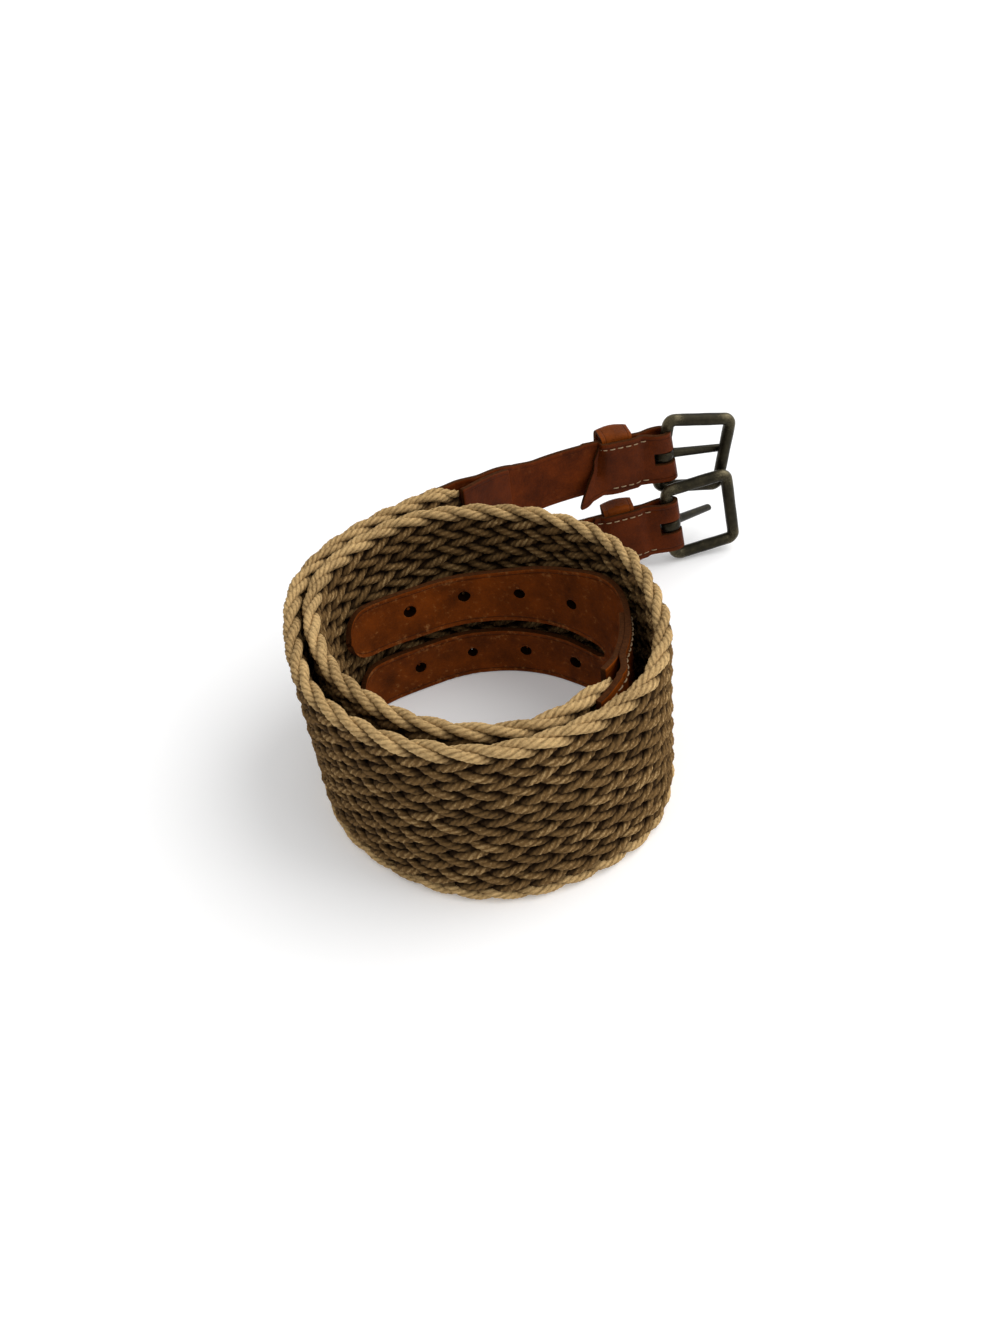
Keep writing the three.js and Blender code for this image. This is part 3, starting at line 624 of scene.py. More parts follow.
def brass_material():
    """Brass under a dark patina, rubbed bright where the wear attribute is high."""
    s = Shader("aged_brass")
    colours = bpy.context.scene.belt_colours
    dark, bright = tuple(colours.brass_dark), tuple(colours.brass_worn)
    where = s.position()
    patina = s.noise(where, 0.32, 5.0, 0.6)
    scuffs = s.noise(where, 1.9, 4.0, 0.7)
    wear = s.attribute("wear")
    mask = s.math("MULTIPLY_ADD", wear, 0.75, s.math("MULTIPLY_ADD", scuffs, 1.5, -1.02), clamp=True)
    colour = s.ramp(patina, ((0.3, shade_of(dark, 0.5)), (0.55, dark), (0.75, shade_of(dark, 1.8))))
    colour = s.blend(mask, colour, bright)
    s.bump(scuffs, 0.25, 0.0002)
    rough = s.math("MULTIPLY_ADD", mask, -0.16, s.math("MULTIPLY_ADD", patina, 0.25, 0.3))
    return s.finish(colour, rough, Metallic=0.85)


def thread_material():
    """Twisted thread."""
    s = Shader("waxed_thread")
    twist = s.add("ShaderNodeTexWave", {"Vector": s.position(), "Scale": 1.6}).outputs["Fac"]
    base = tuple(bpy.context.scene.belt_colours.thread)
    colour = s.ramp(twist, ((0.0, shade_of(base, 0.6)), (1.0, base)))
    s.bump(twist, 0.3, 0.0002)
    return s.finish(colour, 0.6)


# Properties


class BeltBraidSizes(bpy.types.PropertyGroup):
    """Sizes of the braided band."""

    strands: IntProperty(
        name="Strands", description="Number of cords braided across the band", default=35, min=5)
    cord_width: FloatProperty(
        name="Cord width", description="Width of one cord as it lies in the braid",
        default=0.0038, unit="LENGTH")
    cord_depth: FloatProperty(
        name="Cord depth", description="Thickness of one cord through the band",
        default=0.0034, unit="LENGTH")
    lift: FloatProperty(
        name="Lift", description="How far a cord rises to pass over another",
        default=0.0017, unit="LENGTH")
    repeat: FloatProperty(
        name="Repeat", description="Length of the band between crossings in one row",
        default=0.0130, unit="LENGTH")
    yarns: IntProperty(name="Yarns", description="Yarns twisted into one cord", default=4, min=2)
    twist: FloatProperty(
        name="Twist", description="Length of cord in which its yarns turn once round",
        default=0.0125, unit="LENGTH")


class BeltBuckleSizes(bpy.types.PropertyGroup):
    """Sizes of the buckle frames and prongs."""

    length: FloatProperty(
        name="Frame length", description="From the hinge bar's middle to the end bar's middle",
        default=0.030, unit="LENGTH")
    height: FloatProperty(
        name="Frame height", description="Between the middles of the top and bottom bars",
        default=0.0333, unit="LENGTH")
    bar: FloatProperty(
        name="Bar radius", description="Radius of the frame's round bar", default=0.0028, unit="LENGTH")
    corner: FloatProperty(
        name="Corner radius", description="Bend radius of the bar's middle at a corner",
        default=0.0031, unit="LENGTH")
    prong: FloatProperty(
        name="Prong radius", description="Radius of the prong's shaft", default=0.0021, unit="LENGTH")


class BeltKeeperSizes(bpy.types.PropertyGroup):
    """Sizes of the keeper loops and stitches."""

    width: FloatProperty(
        name="Keeper width", description="Length of belt that a keeper covers",
        default=0.014, unit="LENGTH")
    leather: FloatProperty(
        name="Keeper leather", description="Thickness of the keeper's leather",
        default=0.0018, unit="LENGTH")
    depth: FloatProperty(
        name="Keeper depth", description="Free space between strap and keeper",
        default=0.006, unit="LENGTH")
    stitch: FloatProperty(
        name="Stitch length", description="Length of one visible stitch", default=0.0027, unit="LENGTH")


class BeltColours(bpy.types.PropertyGroup):
    """Colours of the belt."""

    cord_light: FloatVectorProperty(
        name="Cord light", description="Colour of the cords' lit fibres", subtype="COLOR",
        default=(0.74, 0.50, 0.225), min=0, max=1)
    cord_mid: FloatVectorProperty(
        name="Cord", description="Main colour of the cords", subtype="COLOR",
        default=(0.172, 0.096, 0.034), min=0, max=1)
    # Painted shade: the colour that low points in the braid's gaps are turned to.
    cord_painted_shade: FloatVectorProperty(
        name="Cord dark", description="Colour between the yarns", subtype="COLOR",
        default=(0.020, 0.009, 0.003), min=0, max=1)
    tip_leather: FloatVectorProperty(
        name="Tip leather", description="Colour of the punched straps", subtype="COLOR",
        default=(0.185, 0.038, 0.002), min=0, max=1)
    buckle_leather: FloatVectorProperty(
        name="Buckle leather", description="Colour of the buckle straps", subtype="COLOR",
        default=(0.088, 0.0150, 0.001), min=0, max=1)
    leather_edge: FloatVectorProperty(
        name="Leather edge", description="Colour of cut leather edges", subtype="COLOR",
        default=(0.055, 0.017, 0.004), min=0, max=1)
    brass_dark: FloatVectorProperty(
        name="Aged brass", description="Colour of the brass's dark patina", subtype="COLOR",
        default=(0.022, 0.018, 0.009), min=0, max=1)
    brass_worn: FloatVectorProperty(
        name="Worn brass", description="Colour of the brass where it is rubbed bright",
        subtype="COLOR", default=(0.165, 0.135, 0.075), min=0, max=1)
    thread: FloatVectorProperty(
        name="Thread", description="Colour of the stitching", subtype="COLOR",
        default=(0.34, 0.23, 0.12), min=0, max=1)


# The braid


SMOOTHING = 12
BAND_STEPS = 1400


class BandLine:
    """The braid's middle line, read by the distance from its outer end in millimetres."""

    def __init__(self):
        angles = np.array(spread(COIL_START, COIL_END, BAND_STEPS))
        radii = np.array([coil_radius(a) for a in angles])
        padded = np.pad(radii, SMOOTHING, "reflect", reflect_type="odd")
        radii = np.convolve(padded, np.full(2 * SMOOTHING + 1, 1 / (2 * SMOOTHING + 1)), "valid")
        turn = np.radians(angles)
        points = np.column_stack([radii * np.cos(turn), radii * np.sin(turn)])
        steps = np.linalg.norm(np.diff(points, axis=0), axis=1)
        self.length = float(steps.sum())
        self.along = np.concatenate(([0.0], np.cumsum(steps)))
        heading = np.gradient(points, self.along, axis=0)
        heading /= np.linalg.norm(heading, axis=1)[:, None]
        self.points = points
        self.side = np.stack([heading[:, 1], -heading[:, 0]], axis=1)

    def read(self, s):
        """The spots on the line at distances s, and the outward directions there."""
        xy = np.stack([np.interp(s, self.along, self.points[:, i]) for i in (0, 1)], axis=1)
        side = np.stack([np.interp(s, self.along, self.side[:, i]) for i in (0, 1)], axis=1)
        side /= np.linalg.norm(side, axis=1)[:, None]
        return xy, side


# The yarn profile runs from the groove between two yarns over one yarn's crown. The cords taper and
# are pressed flat where the leather holds the braid's ends. Rows are counted from a rim, where each
# cord eases into its turn.

YARN_PROFILE = (0.88, 0.98, 1.02, 0.98)
END_TAPER = 13.0
END_PRESSING = 0.45
RIM_EASE = 0.8
RIM_TURN = 1.5
STRAND_STEP = 1.4
BRAID_SEED = 4
CORD_PIECES = 4


def strand_line(line, index, sizes, rng):
    """One cord's middle line: over two and under two, turning back round both rims."""
    count = sizes.strands
    s = np.arange(0.0, line.length, STRAND_STEP)
    stage = np.mod(s / (sizes.repeat / MM / 2) + 2 * index, 2 * count)
    climbing = stage < count
    row = np.where(climbing, count - stage, stage - count)
    way = np.where(climbing, -1.0, 1.0)
    from_rim = np.minimum(row, count - row)
    rim_sign = np.where(row < count / 2, 1.0, math.cos(math.pi * (count - 2 * RIM_TURN) / 2))
    wave = np.where(from_rim < RIM_TURN, way * rim_sign * np.sin(np.pi / 2 * from_rim / RIM_TURN),
                    way * np.cos(np.pi * (row - RIM_TURN) / 2))
    wave = np.sign(wave) * np.abs(wave) ** 0.8
    eased = np.sqrt(from_rim ** 2 + RIM_EASE ** 2) - RIM_EASE
    rows = count - 2 * RIM_EASE
    top_share = np.where(row < count / 2, rows - eased, eased) / rows
    depth, inset = sizes.cord_depth / MM, sizes.cord_width / MM / 2
    end = np.minimum(s, line.length - s)
    taper = np.clip(1 - end / END_TAPER, 0, 1)
    taper = taper * taper * (3 - 2 * taper)
    tall = (BAND_WIDTH - 2 * inset) * (1 - 0.13 * taper)
    phase = rng.uniform(0, 2 * np.pi, 6)
    height = BAND_WIDTH / 2 + tall * (top_share - 0.5)
    height = height + 0.16 * np.sin(s / 9.1 + phase[0]) + 0.12 * np.sin(s / 4.3 + phase[1])
    height = np.clip(height, inset, BAND_WIDTH - inset)
    depth = depth * (1 - END_PRESSING * 0.7 * taper)
    lift = sizes.lift / MM * (1 - END_PRESSING * taper) * wave + 0.1 * np.sin(s / 7.3 + phase[2])
    xy, side = line.read(s)
    middle = np.column_stack([xy + side * lift[:, None], height])
    # rim marks the cords near both rims for the painted highlight there, and keeps them out of the painted
    # shade.
    rim = np.clip(2.6 - from_rim, 0.0, 1.0)
    return middle, side, rim, lift, depth


def strand_mesh(line, index, sizes, rng):
    """One cord: yarns twisted round its middle line, flattened where it lies in the braid."""
    middle, side, rim, lift, depth = strand_line(line, index, sizes, rng)
    ahead = np.gradient(middle, axis=0)
    ahead /= np.linalg.norm(ahead, axis=1)[:, None]
    outward = np.column_stack([side, np.zeros(len(side))])
    outward -= ahead * np.sum(outward * ahead, axis=1)[:, None]
    outward /= np.linalg.norm(outward, axis=1)[:, None]
    across = np.cross(ahead, outward)
    size = sizes.yarns * len(YARN_PROFILE)
    arc = np.concatenate(([0.0], np.cumsum(np.linalg.norm(np.diff(middle, axis=0), axis=1))))
    phase = rng.uniform(0, 2 * np.pi)
    turn = 2 * np.pi * arc / (sizes.twist / MM) + phase
    angle = turn[:, None] + (np.arange(size) * 2 * np.pi / size)[None, :]
    profile = np.tile(YARN_PROFILE, sizes.yarns)
    swell = 1 + 0.05 * np.sin(arc / 5.7 + rng.uniform(0, 6)) + 0.03 * np.sin(arc / 2.3 + phase)
    girth = profile[None, :] * swell[:, None]
    a = (np.cos(angle) * girth * sizes.cord_width / MM / 2)[:, :, None]
    b = (np.sin(angle) * girth * depth[:, None] / 2)[:, :, None]
    points = (middle[:, None, :] + across[:, None, :] * a + outward[:, None, :] * b).reshape(-1, 3)
    # standing feeds painted light and shade in the cord material: raised points are lighter, and low points
    # in the gaps are darker.
    standing = np.abs(lift[:, None] + b[:, :, 0]) / (sizes.lift / MM + depth[:, None] / 2)
    low, high = profile.min(), profile.max()
    layers = {
        # relief feeds painted shade in the grooves between the yarns.
        "relief": np.tile((profile - low) / (high - low), len(arc)),
        "depth": np.maximum(standing, rim[:, None] * 0.9).ravel(),
        "tone": np.full(len(points), rng.uniform(0, 1)),
        "rim": np.repeat(rim, size),
    }
    around = np.tile(np.arange(size) / len(YARN_PROFILE), len(arc)) + index * 7.3
    uv = np.column_stack([np.repeat(arc, size), around])
    return points, tube_faces(len(arc), size), layers, uv


class BELT_OT_braid_cords(bpy.types.Operator):
    """Braids the band from twisted cords that turn back at both rims"""

    bl_idname = "belt.braid_cords"
    bl_label = "Braid Cords"

    def execute(self, context):
        sizes = context.scene.belt_braid
        line = BandLine()
        material = cord_material()
        rng = np.random.default_rng(BRAID_SEED)
        groups = np.array_split(np.arange(sizes.strands), CORD_PIECES)
        for number, group in enumerate(groups, 1):
            cords = [strand_mesh(line, int(index), sizes, rng) for index in group]
            faces, base = [], 0
            for points, cord_faces, _, _ in cords:
                faces.extend(tuple(i + base for i in face) for face in cord_faces)
                base += len(points)
            points = np.concatenate([cord[0] for cord in cords]) * MM + np.array(SHIFT)
            points[:, 2] = np.maximum(points[:, 2], 0.0)
            piece = make_object(f"braid_cords_{number}", points.tolist(), faces, "belt", material,
                                ["braid_band"])
            for key in cords[0][2]:
                add_attribute(piece.data, key, np.concatenate([cord[2][key] for cord in cords]))
            corner = np.zeros(len(piece.data.loops), np.int32)
            piece.data.loops.foreach_get("vertex_index", corner)
            uv = np.concatenate([cord[3] for cord in cords])[corner]
            piece.data.uv_layers.new(name="cord").data.foreach_set("uv", uv.astype(np.float32).ravel())
        return {"FINISHED"}


# The tip end


PRESSED_OFFSET = LAP_OFFSET - 1.5
FACING_START = 0.2
FACING_INSET = 0.4


def closing(past):
    """How far the two leather layers have come together past the braid's end."""
    return smooth(past, 1.0, LAP)


def main_offset(past):
    """How far outward the main layer's middle lies, over the pressed end of the braid and past it."""
    return mix(mix(LAP_OFFSET, PRESSED_OFFSET, smooth(past, -LAP, 0.0)), 0.0, closing(past))


def facing_offset(past):
    """How far the facing's middle lies from the strap's, inward."""
    return mix(-PRESSED_OFFSET, -(LEATHER + GAP), closing(past))


def end_trim(back):
    """How much a tip strap's round end takes off each edge, at a distance back from the tip."""
    if back >= TIP_END_RADIUS:
        return 0.0
    lost = math.sqrt(max(TIP_END_RADIUS ** 2 - (TIP_END_RADIUS - back) ** 2, 0.0))
    return TIP_END_RADIUS - max(lost, TIP_END_RADIUS * 0.05)


def tip_edges(past):
    """Heights of the lower strap's two edges and the upper strap's two edges."""
    angle = TIP.angle(max(past, 0.0))
    trim = end_trim(TIP.length - past)
    slit = BAND_WIDTH * look_up(TIP_EDGE, angle, 2)
    settle = smooth(past, 0.0, TIP.crotch)
    open_by = (TIP_SLIT / 2 + SLIT_WEAR) * smooth(past, TIP.crotch - 2, TIP.crotch + 6)
    return (mix(YOKE_INSET, FLOOR_CLEARANCE, settle) + trim, slit - open_by - trim,
            slit + open_by + trim, BAND_WIDTH * look_up(TIP_EDGE, angle, 1) - trim)


EDGE_MARGIN = 3.2
EDGE_COLUMNS = (0.0, 0.9, 1.5, 1.9, 2.3, EDGE_MARGIN)


def strap_columns(margins=EDGE_COLUMNS, parts=6):
    """Shares across a strap: fixed margins in millimetres at both edges, and even parts between."""
    low = [("low", m) for m in margins]
    mid = [("part", i / parts) for i in range(1, parts)]
    high = [("high", m) for m in reversed(margins)]
    return low + mid + high


def across_strap(column, low, high):
    """(height, distance from the nearer edge) of a column of a strap between two heights."""
    kind, value = column
    cap = (high - low) * 0.18
    if kind == "low":
        return low + min(value, cap * (0.2 + value / 4)), value
    if kind == "high":
        return high - min(value, cap * (0.2 + value / 4)), value
    edge = min(EDGE_MARGIN, cap)
    height = mix(low + edge, high - edge, value)
    return height, max(EDGE_MARGIN + 0.1, min(height - low, high - height))


# The punch leaves a hole that is wide at its mouth, on the inner side, and narrow at its back. Wear
# has widened the slit on both sides.

HOLE_MOUTH = 2.9
HOLE_BACK = 0.1
HOLE_CUT = 3.0
HOLE_SIDES = 20
SLIT_WEAR = 0.8
TIP_ROUNDING = (0.86, 0.72, 0.58, 0.45, 0.33, 0.23, 0.14, 0.07, 0.02, 0.0)


class BELT_OT_tip_leather(bpy.types.Operator):
    """Cuts the leather end with its two punched straps, and the facing on its inner side"""

    bl_idname = "belt.tip_leather"
    bl_label = "Tip Leather"

    def execute(self, context):
        base = tuple(context.scene.belt_colours.tip_leather)
        inner = leather_material("tip_flesh_side", base, shade_of(base, 0.36),
                                 rough=0.66, fleck=0.8, crease=1.0)
        outer = leather_material("tip_grain_side", base, shade_of(base, 0.5), rough=0.45, crease=0.5)
        rim = edge_material()
        columns = [(0, c) for c in strap_columns()] + [(1, c) for c in strap_columns()]
        body = spread(-LAP, TIP.length - TIP_END_RADIUS, 150)
        ends = [TIP.length - TIP_END_RADIUS * share for share in TIP_ROUNDING]

        def spot(past, column):
            strap, place_in = column
            low, slit_low, slit_high, high = tip_edges(past)
            bounds = (low, slit_low) if strap == 0 else (slit_high, high)
            height, rim_by = across_strap(place_in, *bounds)
            if past < TIP.crotch:
                rim_by = max(rim_by, 4.0) if place_in[0] == ("high" if strap == 0 else "low") else rim_by
            offset = main_offset(past)
            ripple = 0.25 * math.sin(past / 17.0 + strap * 2.1) * smooth(past, 20, 60)
            cup = 0.35 * (2 * (height - bounds[0]) / max(bounds[1] - bounds[0], 1) - 1) ** 2
            return TIP.place(past).at(0, offset + ripple - cup, height), rim_by

        def in_slit(s0, s1, c0, c1):
            return c0[0] != c1[0] and s0 >= TIP.crotch

        sheet = Sheet(body + ends, columns, spot, in_slit)
        piece = sheet.build("tip_straps", [outer, inner, rim], LEATHER, "tip_leather")
        self.punch(piece)

        def facing_spot(past, column):
            low, _, _, high = tip_edges(past)
            height, rim_by = across_strap(column, low + FACING_INSET, high - FACING_INSET)
            offset = facing_offset(past)
            return TIP.place(past).at(0, offset, height), rim_by

        facing = Sheet(spread(FACING_START, TIP_FACING_LENGTH, 44), strap_columns(parts=14), facing_spot)
        facing.build("tip_lining", [outer, inner, rim], LEATHER, "tip_facing")
        return {"FINISHED"}

    def punch(self, piece):
        """Punches the round holes right through both straps."""
        cutter_mesh = bmesh.new()
        for i in range(HOLE_COUNT):
            place = TIP.place(TIP.length - LAST_HOLE_TO_TIP - i * HOLE_SPACING)
            for share in (UPPER_HOLES, LOWER_HOLES):
                centre = world(place.at(0, 0, BAND_WIDTH * share))
                turn = place.outward.to_track_quat("Z", "Y").to_matrix().to_4x4()
                bmesh.ops.create_cone(
                    cutter_mesh, cap_ends=True, segments=HOLE_SIDES, radius1=HOLE_MOUTH * MM,
                    radius2=HOLE_BACK * MM, depth=HOLE_CUT * MM,
                    matrix=Matrix.Translation(centre) @ turn)
        mesh = bpy.data.meshes.new("hole_punch")
        cutter_mesh.to_mesh(mesh)
        cutter_mesh.free()
        cutter = bpy.data.objects.new("hole_punch", mesh)
        bpy.context.scene.collection.objects.link(cutter)
        # Painted shade: the hole walls take the cut-edge material at 0.12 of its lightness.
        piece.data.materials.append(edge_material("punched_hole_painted_shade", 0.12))
        for item in piece.data.materials:
            mesh.materials.append(item)
        mesh.polygons.foreach_set("material_index", [HOLE_SLOT] * len(mesh.polygons))
        cut = piece.modifiers.new("holes", "BOOLEAN")
        cut.object = cutter
        cut.operation = "DIFFERENCE"
        cut.solver = "EXACT"
        apply_modifiers(piece)
        bpy.data.objects.remove(cutter)


# The buckle end

FOLD_CENTRE = -(STRAP_LEATHER + GAP) / 2
SINGLE_FACE = STRAP_LEATHER / 2
KEEPER_TO_BAR = 23.0
CAD_PRONG_RADIUS = 1.5
TAB_ENDS = {"upper": -34.0, "lower": -37.0}


def yoke_place(past):
    if past < 0:
        return coil_place(COIL_START + math.degrees(-past / coil_radius(COIL_START)))
    return YOKE.place(past)


def yoke_edges(past):
    part = past / BUCKLE_YOKE_LENGTH
    return (YOKE_INSET + YOKE_HEIGHT * look_up(BUCKLE_YOKE_EDGE, part, 2),
            YOKE_TOP - YOKE_HEIGHT * look_up(BUCKLE_YOKE_EDGE, part, 1))


class BuckleEnd:
    """One buckle strap's bar, frame and prong, found by the same steps as in the CAD source."""

    def __init__(self, name, strap, pose, prong_swing, droop):
        sizes = bpy.context.scene.belt_buckle
        self.name, self.strap, self.pose, self.droop = name, strap, pose, droop
        self.bar = strap.places[-1]
        self.hinge = self.bar.moved(0, FOLD_CENTRE, 0)
        self.frame = self.hinge.turned("outward", -pose["skew"]).turned("up", pose["swing"])
        reach = sizes.bar / MM + CAD_PRONG_RADIUS + GAP
        closed = math.degrees(math.asin(reach / (sizes.length / MM)))
        self.prong = self.frame.turned("up", closed if prong_swing is None else prong_swing)
        self.path = self.fold_path(TAB_ENDS[name])
        self.tab_rows = [(u, o) for u, o, _ in self.path if o < FOLD_CENTRE and u < -1.0]

    def tab_offset(self, u):
        """How far out the tab's middle lies at a distance along the strap from the bar."""
        return float(np.interp(-u, [-row[0] for row in self.tab_rows], [row[1] for row in self.tab_rows]))

    def fold_path(self, tab_end):
        """(along, outward, share of fold) down the outer face, round the bar and back."""
        sizes = bpy.context.scene.belt_buckle
        turn = sizes.bar / MM + BAR_CLEARANCE + STRAP_LEATHER / 2
        path = [(u, 0.0, 0.0) for u in spread(-38, -13, 10)]
        top, low = FOLD_CENTRE + turn, FOLD_CENTRE - turn
        for t in (0.12, 0.25, 0.4, 0.55, 0.7, 0.85, 1.0):
            path.append((mix(-13, -1.0, t), mix(0.0, top, smooth(t, 0, 1)), smooth(t, 0, 1)))
        for degrees in spread(80, -80, 10):
            a = math.radians(degrees)
            path.append((turn * math.cos(a), FOLD_CENTRE + turn * math.sin(a), 1.0))
        tab = -(STRAP_LEATHER + GAP / 2)
        over_keeper = -(STRAP_LEATHER + 1.8 + 2 * GAP)
        for t in (0.0, 0.2, 0.4, 0.6, 0.8, 1.0):
            path.append((mix(-1.0, -12.0, t), mix(low, tab - 0.6, smooth(t, 0, 1)), 1 - smooth(t, 0, 1)))
        path += [(-14.0, over_keeper + 0.3, 0.0), (-16.5, over_keeper, 0.0), (-20.0, over_keeper, 0.0),
                 (-24.0, over_keeper, 0.0), (-28.0, over_keeper, 0.0), (-30.0, over_keeper + 0.4, 0.0)]
        path += [(u, tab, 0.0) for u in spread(-32.0, tab_end, 5)]
        return path


def buckle_ends():
    return (BuckleEnd("upper", UPPER_STRAP, UPPER_POSE, None, 0.0),
            BuckleEnd("lower", LOWER_STRAP, LOWER_POSE, LOWER_PRONG_SWING, LOWER_PRONG_DROOP))


# The two buckle straps part in a round crotch just past the yoke.

CROTCH_START = BUCKLE_YOKE_LENGTH + 1.5
CROTCH_RADIUS = (UPPER_STRAP_HEIGHT - LOWER_STRAP_HEIGHT - BUCKLE_STRAP_WIDTH) / 2
CROTCH_STEPS = (1.5, 1.6, 1.85, 2.3, 2.9)


def crotch_fill(past):
    """How far each strap's inner edge reaches towards the other one, which makes the crotch round."""
    short = 1 - min(max((past - CROTCH_START) / CROTCH_RADIUS, 0.0), 1.0)
    return min(CROTCH_RADIUS * (1 - math.sqrt(1 - short * short)), CROTCH_RADIUS - 0.4)


SLOT_HALF = 3.05
TAB_SLOT_END = -5.3
OUTER_SLOT_END = -9.6


class BELT_OT_buckle_leather(bpy.types.Operator):
    """Cuts the leather end that divides into two straps, each folded round its buckle's bar"""

    bl_idname = "belt.buckle_leather"
    bl_label = "Buckle Leather"

    def execute(self, context):
        base = tuple(context.scene.belt_colours.buckle_leather)
        flesh = leather_material("buckle_flesh_side", shade_of(base, 1.25), shade_of(base, 0.5),
                                 rough=0.6, fleck=0.12, crease=0.4)
        grain = leather_material("buckle_grain_side", base, shade_of(base, 0.42), rough=0.4, crease=0.7)
        facing_grain = leather_material("yoke_grain", shade_of(base, 1.1), shade_of(base, 0.5),
                                        rough=0.42, crease=0.5)
        rim = edge_material()
        self.straps(grain, flesh, rim)

        def facing_spot(past, column):
            low, high = yoke_edges(past)
            height, rim_by = across_strap(column, low + FACING_INSET, high - FACING_INSET)
            offset = facing_offset(past)
            return yoke_place(past).at(0, offset, height), rim_by

        facing = Sheet(spread(FACING_START, BUCKLE_FACING_LENGTH, 30), strap_columns(parts=14), facing_spot)
        facing.build("yoke_lining", [flesh, facing_grain, rim], LEATHER, "buckle_facing")
        return {"FINISHED"}

    def straps(self, grain, flesh, rim):
        """The yoke, both straps and their folds, cut from one sheet."""
        upper, lower = buckle_ends()
        ends = (lower, upper)
        paths = (lower.path, upper.path)
        stations = [("yoke", past) for past in spread(-LAP, BUCKLE_YOKE_LENGTH, 40)]
        stations += [("run", past) for past in CROTCH_STEPS]
        stations += [("run", past) for past in spread(3.8, BUCKLE_STRAP_RUN - 39.0, 23)]
        stations += [("fold", i) for i in range(len(paths[0]))]
        one = strap_columns(parts=4)
        middle = len(one) // 2
        one[middle:middle + 1] = [("slot", -SLOT_HALF), ("slot", 0.0), ("slot", SLOT_HALF)]
        columns = [(0, c) for c in one] + [(1, c) for c in one]
        half = BUCKLE_STRAP_WIDTH / 2
        heights = (LOWER_STRAP_HEIGHT, UPPER_STRAP_HEIGHT)

        def spot(station, column):
            kind, value = station
            which, spread_at = column
            end = ends[which]
            outer = spread_at[0] == ("low" if which == 0 else "high")
            if kind == "fold":
                u, o, v, rim_by = self.folded(end, paths[which], value, spread_at)
                return end.bar.at(u, o, v), rim_by
            past = value if kind == "yoke" else BUCKLE_YOKE_LENGTH + value
            low, high = yoke_edges(min(past, BUCKLE_YOKE_LENGTH))
            settle = smooth(past, BUCKLE_YOKE_LENGTH - 3, BUCKLE_YOKE_LENGTH + 12)
            bottom, top = heights[which] - half, heights[which] + half
            if which == 0:
                bottom = mix(low, bottom, settle)
                top += crotch_fill(past)
            else:
                top = mix(high, top, settle)
                bottom -= crotch_fill(past)
            height, rim_by = self.across(spread_at, bottom, top)
            if kind == "yoke":
                if past < BUCKLE_YOKE_LENGTH and not outer:
                    rim_by = max(rim_by, 4.0)
                offset = main_offset(past)
                return yoke_place(past).at(0, offset, height), rim_by
            return end.strap.place(value).at(0, 0.0, height - heights[which]), rim_by

        def gap(s0, s1, c0, c1):
            if c0[0] != c1[0]:
                return s0[0] != "yoke"
            if s0[0] != "fold" or c0[1][0] != "slot" or c1[1][0] != "slot":
                return False
            u, o, folded = paths[c0[0]][s0[1]]
            return u > (TAB_SLOT_END if o < FOLD_CENTRE else OUTER_SLOT_END) and folded > 0.2

        sheet = Sheet(stations, columns, spot, gap)
        sheet.build("buckle_straps", [grain, flesh, rim], STRAP_LEATHER, "buckle_leather")

    def folded(self, end, path, step, column):
        """Where a column lies on the fold and on the tab, whose free corner stands off the strap."""
        u, o, share = path[step]
        half = mix(BUCKLE_STRAP_WIDTH, FOLD_WIDTH, smooth(u, -16.0, 0.0)) / 2
        v, rim_by = self.across(column, -half, half)
        drop = 0.0
        tab_end = path[-1][0]
        if step > 24:
            late = smooth(-u, 30.0, -tab_end)
            if end.name == "upper":
                u += late * (3.0 * smooth(v, 4.0, half) - 8.5 * smooth(-v, -2.0, half))
                lift = smooth(-u, 30.0, 42.0) * smooth(-v, -4.0, half)
                o -= 5.0 * lift
                drop = 3.6 * lift
            else:
                u += late * 2.5 * (abs(v) / half) ** 3
        u += share * v * math.tan(math.radians(end.pose["skew"]))
        return u, o, v - drop, rim_by

    @staticmethod
    def across(column, low, high):
        kind, value = column
        if kind == "slot":
            return (low + high) / 2 + value, (high - low) / 2 - abs(value)
        return across_strap(column, low, high)


# Keepers

KEEPER_INNER_CORNER = 0.9
KEEPER_OUTER_CORNER = 3.4
KEEPER_BULGE = 0.9
KEEPER_SPREAD = 0.055
KEEPER_BEVEL = 0.75
KEEPER_MARGINS = (0.0, 0.7, 1.2, 1.6)


